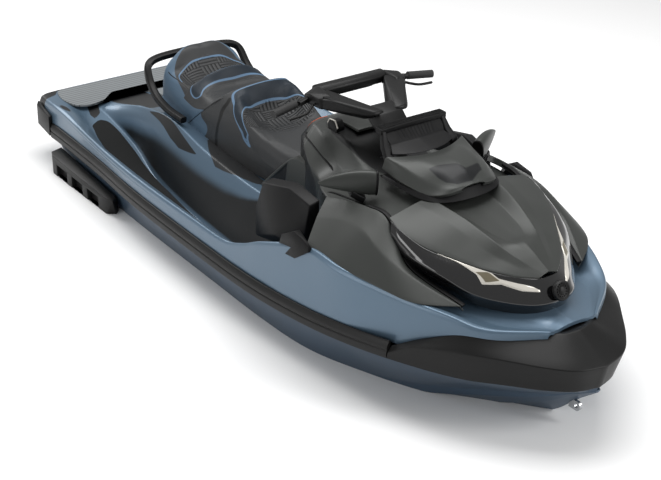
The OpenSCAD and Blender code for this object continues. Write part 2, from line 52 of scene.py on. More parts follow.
def smoothRows(rows, steps):
    # Catmull-Rom curve through the rows, each row one point in many dimensions
    rows = np.array(rows, float)
    first, last = 2 * rows[0] - rows[1], 2 * rows[-1] - rows[-2]
    ext = np.vstack([first, rows, last])
    t = (np.arange(steps) / steps)[None, :, None]
    a, b, c, d = (ext[i:len(rows) - 1 + i, None, :] for i in range(4))
    seg = 0.5 * (2 * b + (c - a) * t + (2 * a - 5 * b + 4 * c - d) * t**2
                 + (3 * b - a - 3 * c + d) * t**3)
    return np.vstack([seg.reshape(-1, rows.shape[1]), rows[-1:]])


def roundCorners(points, radii, arc=5, flat=3):
    # each inner corner of a polyline becomes a quadratic arc that starts and ends one radius away
    points = np.asarray(points, float)
    count = points.shape[1]
    radii = np.broadcast_to(np.asarray(radii, float), (count,))
    out = []
    lastEnd = points[:, 0]
    out.append(points[:, :1])
    for k in range(1, count - 1):
        p, before, after = points[:, k], points[:, k - 1], points[:, k + 1]
        inLen = np.linalg.norm(before - p, axis=-1, keepdims=True) + 1e-9
        outLen = np.linalg.norm(after - p, axis=-1, keepdims=True) + 1e-9
        a = p + (before - p) * np.minimum(radii[k] / inLen, 0.48)
        b = p + (after - p) * np.minimum(radii[k] / outLen, 0.48)
        s = (np.arange(1, flat + 1) / (flat + 1))[None, :, None]
        out.append(lastEnd[:, None] * (1 - s) + a[:, None] * s)
        t = np.linspace(0, 1, arc + 1)[None, :, None]
        out.append((1 - t)**2 * a[:, None] + 2 * t * (1 - t) * p[:, None] + t**2 * b[:, None])
        lastEnd = b
    s = (np.arange(1, flat + 2) / (flat + 1))[None, :, None]
    out.append(lastEnd[:, None] * (1 - s) + points[:, -1:] * s)
    return np.concatenate(out, axis=1)


def mirrored(half):
    # a half section from the centre out, joined to its mirror image across y = 0
    left = half[:, :0:-1].copy()
    left[..., 1] *= -1
    return np.concatenate([left, half], axis=1)


def atStations(x, half):
    # y, z sections given their x, one station a row
    return np.concatenate([np.broadcast_to(x[:, None, None], half.shape[:2] + (1,)), half], 2)


def gridFaces(rows, cols, offset=0, flip=False):
    # one quad between each four neighbours of a grid
    i, j = np.meshgrid(np.arange(rows - 1), np.arange(cols - 1), indexing="ij")
    a = (i * cols + j).ravel() + offset
    quads = np.stack([a, a + cols, a + cols + 1, a + 1], 1)
    return quads[:, ::-1] if flip else quads


def shell(top, bottom):
    # closed solid between two grids of the same size
    rows, cols = top.shape[:2]
    size = rows * cols
    faces = [gridFaces(rows, cols), gridFaces(rows, cols, size, True)]
    i = np.arange(rows - 1) * cols
    j = np.arange(cols - 1)
    faces.append(np.stack([i, i + size, i + size + cols, i + cols], 1))
    e = i + cols - 1
    faces.append(np.stack([e, e + cols, e + size + cols, e + size], 1))
    faces.append(np.stack([j, j + 1, j + 1 + size, j + size], 1))
    k = j + (rows - 1) * cols
    faces.append(np.stack([k, k + size, k + 1 + size, k + 1], 1))
    return np.vstack([top.reshape(-1, 3), bottom.reshape(-1, 3)]), np.vstack(faces)


def closedLoft(rings):
    # rings of points joined one to the next, with a flat cap at each end
    rows, cols = rings.shape[:2]
    i, j = np.meshgrid(np.arange(rows - 1), np.arange(cols), indexing="ij")
    a = (i * cols + j).ravel()
    b = (i * cols + (j + 1) % cols).ravel()
    faces = np.stack([a, a + cols, b + cols, b], 1).tolist()
    faces.append(list(range(cols)))
    faces.append(list(range((rows - 1) * cols, rows * cols))[::-1])
    return rings.reshape(-1, 3), faces


def gridNormals(grid):
    normal = np.cross(np.gradient(grid, axis=0), np.gradient(grid, axis=1))
    return normal / (np.linalg.norm(normal, axis=2, keepdims=True) + 1e-9)


def topOnly(values, below):
    # an attribute of a shell: the values on its top grid, one value on its underside
    return np.concatenate([values.ravel(), np.full(values.size, float(below))])


def makePiece(name, verts, faces, material, body, replaces=(), sharp=32, merge=0.00005,
              bevel=None, attributes=None):
    # a piece from points in metres and faces; doubles are merged and faces turned outwards
    mesh = bpy.data.meshes.new(name)
    faces = faces.tolist() if hasattr(faces, "tolist") else faces
    mesh.from_pydata(np.asarray(verts).tolist(), [], faces)
    for key, values in (attributes or {}).items():
        layer = mesh.attributes.new(key, "FLOAT", "POINT")
        layer.data.foreach_set("value", np.asarray(values, np.float32).ravel())
    work = bmesh.new()
    work.from_mesh(mesh)
    bmesh.ops.remove_doubles(work, verts=work.verts, dist=merge)
    bmesh.ops.dissolve_degenerate(work, dist=merge, edges=work.edges)
    bmesh.ops.recalc_face_normals(work, faces=work.faces)
    if work.calc_volume(signed=True) < 0:  # a shell that folds close to itself can come out inside out
        bmesh.ops.reverse_faces(work, faces=work.faces)
    work.to_mesh(mesh)
    work.free()
    piece = bpy.data.objects.new(name, mesh)
    scene.collection.objects.link(piece)
    finishPiece(piece, material, body, replaces, sharp, bevel)
    return piece


def finishPiece(piece, material, body, replaces=(), sharp=32, bevel=None):
    # shading, material, the body it rides on and the nodes it stands for
    mesh = piece.data
    mesh.shade_smooth()
    if bevel:
        edge = piece.modifiers.new("edge", "BEVEL")
        edge.width, edge.segments, edge.limit_method = bevel, 3, "ANGLE"
        edge.angle_limit = math.radians(28)
        edge.harden_normals = False
    else:
        mesh.set_sharp_from_angle(angle=math.radians(sharp))
    mesh.materials.clear()
    mesh.materials.append(material)
    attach(piece, body)
    if replaces:
        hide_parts(*replaces)


def refine(node, material, body, bevel, name):
    # a copy of a CAD node with its facets merged and its edges softened
    source = nodes[node]
    mesh = source.data.copy()
    work = bmesh.new()
    work.from_mesh(mesh)
    bmesh.ops.remove_doubles(work, verts=work.verts, dist=0.00005)
    bmesh.ops.dissolve_limit(work, angle_limit=math.radians(3), verts=work.verts,
                             edges=work.edges)
    bmesh.ops.recalc_face_normals(work, faces=work.faces)
    work.to_mesh(mesh)
    work.free()
    piece = bpy.data.objects.new(name, mesh)
    scene.collection.objects.link(piece)
    for key in list(piece.keys()):
        del piece[key]
    finishPiece(piece, material, body, (node,), bevel=bevel)


# shared effects

def newGroup(name, inputs, outputs):
    # empty shader group with named sockets, and its two end nodes
    group = bpy.data.node_groups.new(name, "ShaderNodeTree")
    for label, kind, value in inputs:
        socket = group.interface.new_socket(label, in_out="INPUT", socket_type=kind)
        if value is not None:
            socket.default_value = value
    for label, kind in outputs:
        group.interface.new_socket(label, in_out="OUTPUT", socket_type=kind)
    return group, group.nodes.new("NodeGroupInput"), group.nodes.new("NodeGroupOutput")


def math2(tree, operation, a, b=None):
    # one maths node on numbers or sockets
    node = tree.nodes.new("ShaderNodeMath")
    node.operation = operation
    for slotIndex, value in ((0, a), (1, b)):
        if value is None:
            continue
        if isinstance(value, (int, float)):
            node.inputs[slotIndex].default_value = value
        else:
            tree.links.new(value, node.inputs[slotIndex])
    return node.outputs[0]


def buildGrainGroup():
    # two sizes of noise on object coordinates, as a height and a slow tone
    group, inside, outside = newGroup(
        "mouldedGrain", [("Scale", "NodeSocketFloat", 900.0), ("Amount", "NodeSocketFloat", 0.5)],
        [("Height", "NodeSocketFloat"), ("Tone", "NodeSocketFloat")])
    coord = group.nodes.new("ShaderNodeTexCoord")
    fine = group.nodes.new("ShaderNodeTexNoise")
    fine.inputs["Detail"].default_value = 2
    group.links.new(coord.outputs["Object"], fine.inputs["Vector"])
    group.links.new(inside.outputs["Scale"], fine.inputs["Scale"])
    slow = group.nodes.new("ShaderNodeTexNoise")
    slow.inputs["Scale"].default_value = 4
    slow.inputs["Detail"].default_value = 3
    group.links.new(coord.outputs["Object"], slow.inputs["Vector"])
    group.links.new(math2(group, "MULTIPLY", fine.outputs["Fac"], inside.outputs["Amount"]),
                    outside.inputs["Height"])
    group.links.new(slow.outputs["Fac"], outside.inputs["Tone"])
    return group


grainGroup = buildGrainGroup()


def hexColor(text):
    # screen colour as linear red, green, blue and alpha
    values = [int(text[i:i + 2], 16) / 255 for i in (0, 2, 4)]
    return [v / 12.92 if v <= 0.04045 else ((v + 0.055) / 1.055)**2.4 for v in values] + [1.0]


def mixColor(tree, factor, a, b):
    # colour a to colour b by a factor; each is a value or a socket
    node = tree.nodes.new("ShaderNodeMix")
    node.data_type = "RGBA"
    for socket, value in ((node.inputs[0], factor), (node.inputs[6], a), (node.inputs[7], b)):
        if isinstance(value, (list, tuple, float, int)):
            socket.default_value = value
        else:
            tree.links.new(value, socket)
    return node.outputs[2]


def baseMaterial(name, color, rough=0.5, metallic=0.0, coat=0.0, coatRough=0.1, grain=900.0,
                 bump=0.15, tone=0.12, roughSpread=0.08, specular=0.5):
    # moulded or painted surface: fine grain as bump, slow noise in its colour and roughness
    material = bpy.data.materials.new(name)
    material.use_nodes = True
    tree = material.node_tree
    shader = tree.nodes["Principled BSDF"]
    shader.inputs["Metallic"].default_value = metallic
    shader.inputs["Coat Weight"].default_value = coat
    shader.inputs["Coat Roughness"].default_value = coatRough
    shader.inputs["Specular IOR Level"].default_value = specular
    grainNode = tree.nodes.new("ShaderNodeGroup")
    grainNode.node_tree = grainGroup
    grainNode.inputs["Scale"].default_value = grain
    grainNode.inputs["Amount"].default_value = 1.0
    base = hexColor(color)
    dark = [c * (1 - tone) for c in base[:3]] + [1.0]
    light = [min(1, c * (1 + tone)) for c in base[:3]] + [1.0]
    colour = mixColor(tree, grainNode.outputs["Tone"], dark, light)
    tree.links.new(colour, shader.inputs["Base Color"])
    roughness = tree.nodes.new("ShaderNodeMapRange")
    roughness.inputs["To Min"].default_value = max(0.02, rough - roughSpread)
    roughness.inputs["To Max"].default_value = rough + roughSpread
    tree.links.new(grainNode.outputs["Tone"], roughness.inputs["Value"])
    tree.links.new(roughness.outputs["Result"], shader.inputs["Roughness"])
    if bump:
        bumpNode = tree.nodes.new("ShaderNodeBump")
        bumpNode.inputs["Strength"].default_value = bump
        bumpNode.inputs["Distance"].default_value = 0.0004
        tree.links.new(grainNode.outputs["Height"], bumpNode.inputs["Height"])
        tree.links.new(bumpNode.outputs["Normal"], shader.inputs["Normal"])
    return material


def attributeMask(tree, name, low, high):
    # 0 to 1 as the named attribute goes from low to high
    node = tree.nodes.new("ShaderNodeAttribute")
    node.attribute_name = name
    ramp = tree.nodes.new("ShaderNodeMapRange")
    ramp.interpolation_type = "SMOOTHSTEP"
    ramp.inputs["From Min"].default_value = low
    ramp.inputs["From Max"].default_value = high
    tree.links.new(node.outputs["Fac"], ramp.inputs["Value"])
    return ramp.outputs["Result"]


def overlayColor(material, factor, color):
    # lays a second colour over the base colour by a mask
    tree = material.node_tree
    shader = tree.nodes["Principled BSDF"]
    old = shader.inputs["Base Color"].links[0].from_socket
    tree.links.new(mixColor(tree, factor, old, hexColor(color)), shader.inputs["Base Color"])


deckPaint = baseMaterial("deckPaint", "566B7D", rough=0.4, metallic=0.4, coat=0.25, grain=1500, bump=0.05,
                         tone=0.05)
hullPaint = baseMaterial("hullPaint", "3B4C5D", rough=0.42, metallic=0.4, coat=0.2, grain=1500, bump=0.05,
                         tone=0.05)
blackPlastic = baseMaterial("blackPlastic", "0E0E0E", specular=0.25, rough=0.44, grain=1200, bump=0.25)
darkPlastic = baseMaterial("darkPlastic", "0B0B0C", specular=0.2, rough=0.48, grain=1200, bump=0.25)
greyPanel = baseMaterial("greyPanel", "363836", specular=0.35, rough=0.4, metallic=0.2, grain=1600,
                         bump=0.08, tone=0.05)
glossBlack = baseMaterial("glossBlack", "0D0D0E", rough=0.12, coat=0.8, coatRough=0.04, bump=0.0,
                          roughSpread=0.03)
trimSilver = baseMaterial("trimSilver", "CFCBC2", rough=0.3, metallic=0.25, bump=0.0)
matGrey = baseMaterial("matGrey", "74787A", rough=0.85, grain=700, bump=0.4)
matBlack = baseMaterial("matBlack", "161717", specular=0.2, rough=0.8, grain=700, bump=0.4)
vinyl = baseMaterial("seatVinyl", "313233", specular=0.3, rough=0.48, grain=800, bump=0.3, tone=0.06)
gripRubber = baseMaterial("gripRubber", "101010", rough=0.65, grain=900, bump=0.4)
castMetal = baseMaterial("castMetal", "9A9C9E", rough=0.45, metallic=0.9, grain=500, bump=0.3)
steel = baseMaterial("polishedSteel", "BFC1C3", rough=0.25, metallic=1.0, grain=1500, bump=0.05)
engineGrey = baseMaterial("engineGrey", "3A3A3A", rough=0.6, metallic=0.4)
print("materials ready")

# floor, light, camera

camera = dict(place=(4.592, -3.448, 3.091), azimuth=53.245, elevation=27.703, roll=1.356, lens=78.75,
              shiftX=0.019, shiftY=0.0)


def addCamera(c):
    az, el, roll = (math.radians(c[k]) for k in ("azimuth", "elevation", "roll"))
    back = Vector((math.sin(az) * math.cos(el), -math.cos(az) * math.cos(el), math.sin(el)))
    right = (-back).cross(Vector((0, 0, 1))).normalized()
    up = right.cross(-back)
    right, up = math.cos(roll) * right + math.sin(roll) * up, math.cos(roll) * up - math.sin(roll) * right
    data = bpy.data.cameras.new("camera")
    data.lens, data.sensor_width = c["lens"], 36
    data.shift_x, data.shift_y = c["shiftX"], c["shiftY"]
    data.clip_end = 200
    obj = bpy.data.objects.new("camera", data)
    scene.collection.objects.link(obj)
    m = Matrix((right, up, back)).transposed().to_4x4()
    m.translation = Vector(c["place"])
    obj.matrix_world = m
    scene.camera = obj


addCamera(camera)


def addLamp(name, place, target, size, power, color=(1, 1, 1)):
    data = bpy.data.lights.new(name, "AREA")
    data.shape, data.size, data.size_y = "RECTANGLE", size[0], size[1]
    data.energy, data.color = power, color
    lamp = bpy.data.objects.new(name, data)
    scene.collection.objects.link(lamp)
    lamp.location = place
    lamp.rotation_euler = (Vector(target) - Vector(place)).to_track_quat("-Z", "Y").to_euler()


addLamp("softTop", (-0.5, 0.5, 5.2), (0, 0, 0), (5, 3), 260)
addLamp("bowStrip", (5.5, 3.0, 3.2), (1.0, 0, 0.3), (1.2, 3.5), 170)
addLamp("sideFill", (0.5, -6.5, 2.2), (0, 0, 0.2), (5, 1.6), 90)
addLamp("sternStrip", (-5.5, -1.5, 3.6), (-0.8, 0, 0.3), (2, 3), 110)


stage = dict(fill=0.42, half=40, floorTone=0.9, floorRough=0.9)  # fill is the world's strength on the object


def buildWorld():
    # the camera and clear pieces see plain white, the object a softer fill
    world = bpy.data.worlds.new("studio")
    scene.world = world
    world.use_nodes = True
    tree = world.node_tree
    background = tree.nodes["Background"]
    rays = tree.nodes.new("ShaderNodeLightPath")
    strength = tree.nodes.new("ShaderNodeMapRange")
    strength.inputs["To Min"].default_value = stage["fill"]
    strength.inputs["To Max"].default_value = 1.0
    seen = math2(tree, "MAXIMUM", rays.outputs["Is Camera Ray"], rays.outputs["Is Transmission Ray"])
    tree.links.new(seen, strength.inputs["Value"])
    tree.links.new(strength.outputs["Result"], background.inputs["Strength"])
    background.inputs["Color"].default_value = (1, 1, 1, 1)


def buildFloor():
    # pale floor at the waterline
    half, tone = stage["half"], stage["floorTone"]
    mesh = bpy.data.meshes.new("studioFloor")
    mesh.from_pydata([(-half, -half, 0), (half, -half, 0), (half, half, 0), (-half, half, 0)], [],
                     [(0, 1, 2, 3)])
    studioFloor = bpy.data.objects.new("studioFloor", mesh)
    scene.collection.objects.link(studioFloor)
    material = bpy.data.materials.new("paleFloor")
    material.use_nodes = True
    shader = material.node_tree.nodes["Principled BSDF"]
    shader.inputs["Base Color"].default_value = (tone, tone, tone, 1)
    shader.inputs["Roughness"].default_value = stage["floorRough"]
    shader.inputs["Specular IOR Level"].default_value = 0.1
    mesh.materials.append(material)


buildWorld()
buildFloor()
scene.view_settings.view_transform = "Standard"
print("stage ready")

# plain CAD nodes: material only

slotMaterials = dict(
    hull_paint=hullPaint, deck_paint=deckPaint, black_plastic=blackPlastic, grey_plastic=greyPanel,
    gloss_black=glossBlack, mat_grey=matGrey, mat_black=matBlack, vinyl=vinyl, light_trim=trimSilver,
    grip_rubber=gripRubber, cast_metal=castMetal, steel=steel, engine_grey=engineGrey)
for part in frame["record"]["subparts"]:
    mesh = nodes[part["node"]].data
    mesh.materials.clear()
    mesh.materials.append(slotMaterials[part["material_slot"]])
print("CAD nodes painted")

# regions

def curveDistance(u, v, points):
    # least distance in u, v from a polyline
    best = np.full(u.shape, 1e9)
    for (u0, v0), (u1, v1) in zip(points[:-1], points[1:]):
        du, dv = u1 - u0, v1 - v0
        t = np.clip(((u - u0) * du + (v - v0) * dv) / (du * du + dv * dv), 0, 1)
        best = np.minimum(best, np.hypot(u - u0 - t * du, v - v0 - t * dv))
    return best


def insidePolygon(u, v, points):
    # true where a ray along u crosses the outline an odd number of times
    inside = np.zeros(u.shape, bool)
    for (u0, v0), (u1, v1) in zip(points, points[1:] + points[:1]):
        crosses = (v0 > v) != (v1 > v)
        with np.errstate(divide="ignore", invalid="ignore"):
            at = (u1 - u0) * (v - v0) / ((v1 - v0) or 1e-9) + u0
        inside ^= crosses & (u < at)
    return inside


def smoothOutline(points, closed=True):
    # the same outline with rounded corners
    points = list(points)
    if not closed:
        return [tuple(q) for q in smoothRows(points, 5)]
    ring = smoothRows(points[-2:] + points + points[:2], 5)
    return [tuple(q) for q in ring[10:-11]]


def signedTo(u, v, polygon):
    # distance to the outline, positive inside
    d = curveDistance(u, v, polygon + polygon[:1])
    return np.where(insidePolygon(u, v, polygon), d, -d)


# deck

def loopCorners(points, radii, arc=4, flat=2):
    # corners rounded as in roundCorners, for a closed ring, started half way along its last side
    middle = (points[:, -1:] + points[:, :1]) / 2
    ring = np.concatenate([middle, points, middle], axis=1)
    radii = np.concatenate([[0], np.broadcast_to(np.asarray(radii, float), (points.shape[1],)), [0]])
    return roundCorners(ring, radii, arc, flat)[:, :-1]


def spread(x, *pairs):
    # straight-line lookup from x, value pairs
    return np.interp(x, [p[0] for p in pairs], [p[1] for p in pairs])


deckShape = dict(steps=7, arc=6, flat=6, radii=(0, 60, 10, 60, 7, 30, 24, 10, 6, 0))
# x, then y and z of each line from the centre out
deckLines = [
    [-1705, 0, 318, 120, 318, 240, 318, 330, 318, 400, 317, 450, 316, 485, 314, 512, 306, 524, 280, 530, 235],
    [-1535, 0, 320, 140, 320, 255, 320, 335, 320, 400, 320, 450, 319, 495, 321, 528, 324, 538, 312, 542, 235],
    [-1395, 0, 322, 150, 322, 262, 322, 300, 306, 330, 288, 430, 280, 475, 310, 525, 328, 545, 316, 549, 235],
    [-1125, 0, 370, 215, 370, 252, 392, 290, 325, 312, 205, 470, 205, 522, 285, 562, 320, 572, 306, 576, 236],
    [-825, 0, 415, 225, 415, 276, 440, 322, 325, 372, 160, 492, 160, 535, 275, 582, 310, 594, 296, 596, 238],
    [-525, 0, 385, 225, 385, 282, 390, 332, 275, 405, 140, 502, 140, 545, 275, 594, 306, 604, 292, 606, 240],
    [-125, 0, 345, 215, 345, 286, 366, 342, 255, 430, 135, 508, 135, 552, 276, 596, 306, 605, 292, 607, 240],
    [125, 0, 372, 225, 372, 290, 378, 345, 255, 436, 135, 508, 135, 556, 285, 598, 312, 606, 298, 608, 240],
    [265, 0, 380, 230, 380, 296, 376, 352, 300, 438, 240, 510, 240, 556, 320, 596, 356, 604, 340, 606, 242],
    [400, 0, 385, 240, 385, 305, 376, 362, 360, 440, 350, 510, 360, 555, 400, 588, 420, 598, 404, 601, 245],
    [665, 0, 440, 240, 440, 320, 440, 390, 440, 450, 448, 505, 470, 545, 500, 568, 508, 580, 492, 586, 255],
    [865, 0, 450, 240, 450, 315, 440, 380, 430, 430, 430, 470, 440, 510, 478, 546, 495, 558, 475, 560, 265],
    [1105, 0, 440, 190, 436, 255, 430, 310, 418, 350, 412, 390, 420, 425, 452, 458, 462, 468, 442, 476, 280],
    [1275, 0, 436, 120, 430, 180, 418, 230, 404, 270, 398, 310, 405, 350, 436, 385, 442, 392, 425, 402, 280],
    [1400, 0, 430, 90, 420, 140, 405, 180, 398, 220, 396, 255, 404, 280, 413, 305, 413, 312, 403, 322, 280],
    [1535, 0, 412, 40, 410, 60, 407, 80, 404, 95, 404, 104, 405, 110, 408, 118, 406, 124, 400, 132, 280]]
# x, keel z, chine y, chine z, rail y, rail z, joint z
hullLines = [
    [-1475, -235, 480, -36, 560, 150, 185], [-1300, -245, 497, -30, 567, 152, 108],
    [-1000, -245, 508, -26, 582, 154, 108], [-600, -245, 515, -25, 615, 158, 108],
    [-100, -245, 520, -25, 627, 160, 108], [300, -245, 525, -22, 627, 162, 108],
    [600, -240, 508, -17, 608, 172, 185], [850, -220, 440, 2, 578, 190, 190],
    [1105, -178, 345, 38, 520, 212, 205], [1325, -98, 215, 88, 410, 212, 205],
    [1490, 5, 112, 122, 290, 212, 205], [1600, 112, 50, 160, 170, 212, 205],
    [1690, 190, 12, 196, 24, 212, 205]]
hullRows = smoothRows(hullLines, 7)


def railY(x):
    # half width of the hull at the rub rail
    return np.interp(np.maximum(x, -1475), hullRows[:, 0], hullRows[:, 4])


def railZ(x):
    return np.interp(x, hullRows[:, 0], hullRows[:, 5])


deckRows = smoothRows(deckLines, deckShape["steps"])


def deckProfile(x):
    # y and z of the deck's lines at one station
    line = np.array([np.interp(x, deckRows[:, 0], deckRows[:, c]) for c in range(1, 21)])
    return line[0::2], line[1::2]


def buildDeck():
    # ten lines along the deck, joined across by a rounded section, over an underside 14 mm lower
    s = deckShape
    x = deckRows[:, 0]
    lines = deckRows[:, 1:].reshape(len(x), 10, 2).copy()
    lines[:, 9, 0] = np.minimum(lines[:, 9, 0], railY(x) - 20)
    index = np.broadcast_to(np.arange(10) * 0.001, lines.shape[:2])[..., None]
    half = roundCorners(np.concatenate([lines, index], 2), s["radii"], s["arc"], s["flat"])
    half = atStations(x, half)
    top = mirrored(half)
    line = top[..., 3] * 1000
    top = top[..., :3]
    bottom = top.copy()
    low = np.where(top[..., 0] < -1500, 152.0, top[..., 2] - 14)
    bottom[..., 2] = np.minimum(low, top[..., 2] - 14)
    verts, faces = shell(top * mm, bottom * mm)
    xx = top[..., 0]
    # painted shade: black grows from the foot of the pedestal panel over the concave footwell wall, standing
    # in for its deep shade and dark reflection; it starts higher towards the bow
    start = spread(xx, (-1500, 3.4), (-1130, 3.0), (-900, 2.62), (-500, 2.45), (-150, 2.3), (20, 2.02),
                   (400, 2.0))
    end = start + spread(xx, (-1130, 0.9), (-900, 0.85), (-300, 0.75), (20, 0.16), (400, 0.05))
    dark = np.clip((line - start) / (end - start), 0, 1)
    dark = dark * dark * (3 - 2 * dark) * np.clip((3.92 - line) / 0.12, 0, 1)
    dark *= np.clip((420 - xx) / 60, 0, 1) * np.clip((xx + 1330) / 160, 0, 1)
    pad = np.max([signedTo(xx, np.abs(top[..., 1]), region) for region in deckPads], axis=0) / 10
    pad = np.where((line > 3.2) & (line < 4.2) & (xx < -400) & (xx > -1200), -1, pad)
    skirt = signedTo(xx, np.abs(top[..., 1]), seatSkirt) / 10
    attributes = dict(dark=topOnly(dark, 0), skirt=topOnly(skirt, -1), pad=topOnly(pad, -1))
    makePiece("deckShell", verts, faces, deckPaint, "craft", ("deck",), sharp=40,
              attributes=attributes)


def ovalRegion(x, y, a, b):
    turn = [k * math.pi / 10 for k in range(20)]
    return [(x + a * math.cos(k), y + b * math.sin(k)) for k in turn]


# black areas of the deck seen from above, x and distance from the centreline
deckPads = [
    [(-1522, 205), (-1474, 120), (-1440, 62), (-1120, 60), (-1118, 236), (-1180, 252), (-1300, 258),
     (-1400, 262), (-1450, 268), (-1500, 236)],
    [(-1551, 352), (-1524, 298), (-1391, 350), (-1362, 392), (-1400, 402)],
    [(-1064, 262), (-950, 268), (-856, 275), (-717, 288), (-561, 298), (-634, 307), (-703, 313), (-792, 307),
     (-900, 288)],
    [(-1712, 350), (-1712, 530), (-1630, 536), (-1648, 462), (-1684, 436), (-1696, 350)],
    ovalRegion(-1456, 506, 48, 17),
    [(-545, 196), (-424, 281), (-394, 300), (-384, 297), (-412, 276), (-530, 196)]]
# the front seat's skirt where it runs out over the pedestal
seatSkirt = [(-620, 190), (-617, 209), (-520, 262), (-441, 294), (-405, 296), (-299, 290), (-203, 274),
             (-148, 232), (-140, 190)]


def blackAndShadeRegions(material, masks):
    # each mask lays its colour over the paint and takes away its metal and clear coat
    tree = material.node_tree
    shader = tree.nodes["Principled BSDF"]
    keep = 1.0
    for factor, color in masks:
        overlayColor(material, factor, color)
        keep = math2(tree, "MULTIPLY", math2(tree, "SUBTRACT", 1.0, factor), keep)
    for key in ("Metallic", "Coat Weight"):
        tree.links.new(math2(tree, "MULTIPLY", keep, shader.inputs[key].default_value), shader.inputs[key])


# the skirt is the seat's vinyl run out over the deck and the pads are black areas; the "dark" mask is painted
# shade on the concave footwell wall
blackAndShadeRegions(deckPaint, ((attributeMask(deckPaint.node_tree, "skirt", -0.08, 0.08), "242526"),
                         (attributeMask(deckPaint.node_tree, "dark", 0, 0.8), "030404"),
                         (attributeMask(deckPaint.node_tree, "pad", -0.08, 0.08), "0A0B0C")))
buildDeck()


# hull

def hullSection(rows):
    # y, z of the lines from the keel, over two strakes and the chine, to the rail
    k, cy, cz, ry, rz = (rows[:, i] for i in range(1, 6))
    sy = ry - 21
    sz = rz + 37.5 - np.where(rows[:, 0] > 900, np.minimum(36, (rows[:, 0] - 900) / 5), 0)
    d = cz - k
    cols = [(0 * k, k), (cy * 0.3, k + d * 0.26), (cy * 0.6, k + d * 0.55), (cy * 0.63, k + d * 0.5),
            (cy * 0.93, k + d * 0.84), (cy * 0.95, k + d * 0.8), (cy, cz),
            (cy + (sy - cy) * 0.5, cz + (sz - cz) * 0.45), (sy - 1, np.minimum(sz - 4, rz - 2))]
    return np.stack([np.stack(c, 1) for c in cols], 1)


def subtract(piece, boxes):
    # cuts convex blocks, given as corner lists, out of a piece
    for corners in boxes:
        work = bmesh.new()
        for corner in corners:
            work.verts.new([v * mm for v in corner])
        bmesh.ops.convex_hull(work, input=work.verts)
        mesh = bpy.data.meshes.new("cutter")
        work.to_mesh(mesh)
        work.free()
        cutter = bpy.data.objects.new("cutter", mesh)
        scene.collection.objects.link(cutter)
        cut = piece.modifiers.new("cut", "BOOLEAN")
        cut.operation, cut.solver, cut.object = "DIFFERENCE", "MANIFOLD", cutter
        bpy.context.view_layer.update()
        result = bpy.data.meshes.new_from_object(piece.evaluated_get(bpy.context.evaluated_depsgraph_get()))
        piece.modifiers.remove(cut)
        old = piece.data
        piece.data = result
        bpy.data.meshes.remove(old)
        bpy.data.objects.remove(cutter)
        bpy.data.meshes.remove(mesh)


def boxCorners(low, high):
    return [(x, y, z) for x in (low[0], high[0]) for y in (low[1], high[1]) for z in (low[2], high[2])]


# the pump's tunnel, and the side view of the water intake ahead of it
pumpTunnel = dict(low=(-1500, -128, -300), high=(-1055, 128, -10))
intake = dict(halfWidth=85, outline=((-1060, -205), (-1060, -50), (-620, -205), (-560, -300), (-1060, -300)))


def buildHull():
    half = roundCorners(hullSection(hullRows), (0, 12, 4, 4, 4, 4, 10, 60, 0), arc=3, flat=3)
    half = atStations(hullRows[:, 0], half)
    low = mirrored(half)
    high = low.copy()
    high[..., 2] = np.maximum(hullRows[:, None, 6] - 4, low[..., 2] + 2)
    verts, faces = shell(high * mm, low * mm)
    piece = makePiece("hullShell", verts, faces, hullPaint, "craft", ("lower_hull",), sharp=28)
    w = intake["halfWidth"]
    subtract(piece, [boxCorners(pumpTunnel["low"], pumpTunnel["high"]),
                     [(x, y, z) for y in (-w, w) for x, z in intake["outline"]]])
    piece.data.materials.clear()
    piece.data.materials.append(hullPaint)


buildHull()
print("hull and deck")

# bumpers and rails

# x, y and z of the bottom, crease and top lines
bumperLines = [
    [1112, 520, 216, 516, 240, 498, 268], [1200, 480, 216, 484, 300, 450, 320],
    [1310, 424, 216, 432, 326, 388, 366], [1400, 365, 216, 375, 336, 325, 392],
    [1500, 276, 216, 292, 334, 205, 391], [1600, 182, 214, 204, 328, 112, 393],
    [1670, 92, 214, 116, 322, 66, 395], [1697, 0, 214, 0, 316, 0, 398]]


bumperShape = dict(start=1112, length=585, proud=20, topBack=125, innerBack=172)


def buildBumper():
    # a five-cornered section carried along the three lines, leaning back more and more to the stem
    s = bumperShape
    x, y1, z1, y2, z2, y3, z3 = smoothRows(bumperLines, 7).T
    k = (x - s["start"]) / s["length"]
    inner = x - s["innerBack"] * k * k
    pts = np.stack([np.stack([x, y1, z1], 1), np.stack([x + s["proud"] * k, y2, z2], 1),
                    np.stack([x - s["topBack"] * k * k, y3, z3], 1),
                    np.stack([inner - 6, y3 * (0.92 - 0.35 * k), z3 - 14], 1),
                    np.stack([inner - 10, y3 * (0.9 - 0.35 * k), z1 + 4], 1)], 1)
    ring = loopCorners(pts, (7, 5, 6, 4, 3), arc=4, flat=3)
    other = ring[-2::-1] * np.array([1, -1, 1])
    verts, faces = closedLoft(np.concatenate([ring, other]) * mm)
    makePiece("bowBumper", verts, faces, blackPlastic, "craft", ("bow_bumper",), sharp=30)


buildBumper()


# y and z of the rail's section from the hull's rail line, and the radius of each corner
railSection = [(-19, 0), (-5, 0), (0, 9), (0, 32), (-4, 37), (-1, 42), (-2, 54), (-12, 75), (-19, 75)]
railRadii = (1, 4, 5, 2, 2, 3, 8, 6, 1)


def buildRails():
    # the section carried along the rail line
    x = np.concatenate([np.arange(-1530, 1100, 30), [1108]])
    y, z = railY(x), railZ(x)
    pts = np.stack([np.stack([x, y + a, z + b], 1) for a, b in railSection], 1)
    ring = loopCorners(pts, railRadii, arc=3, flat=1)
    for label, flip in sides.items():
        verts, faces = closedLoft(ring * flip * mm)
        makePiece(label + "Rail", verts, faces, railBlack, "craft", (label + "_rub_rail",),
                  sharp=30)


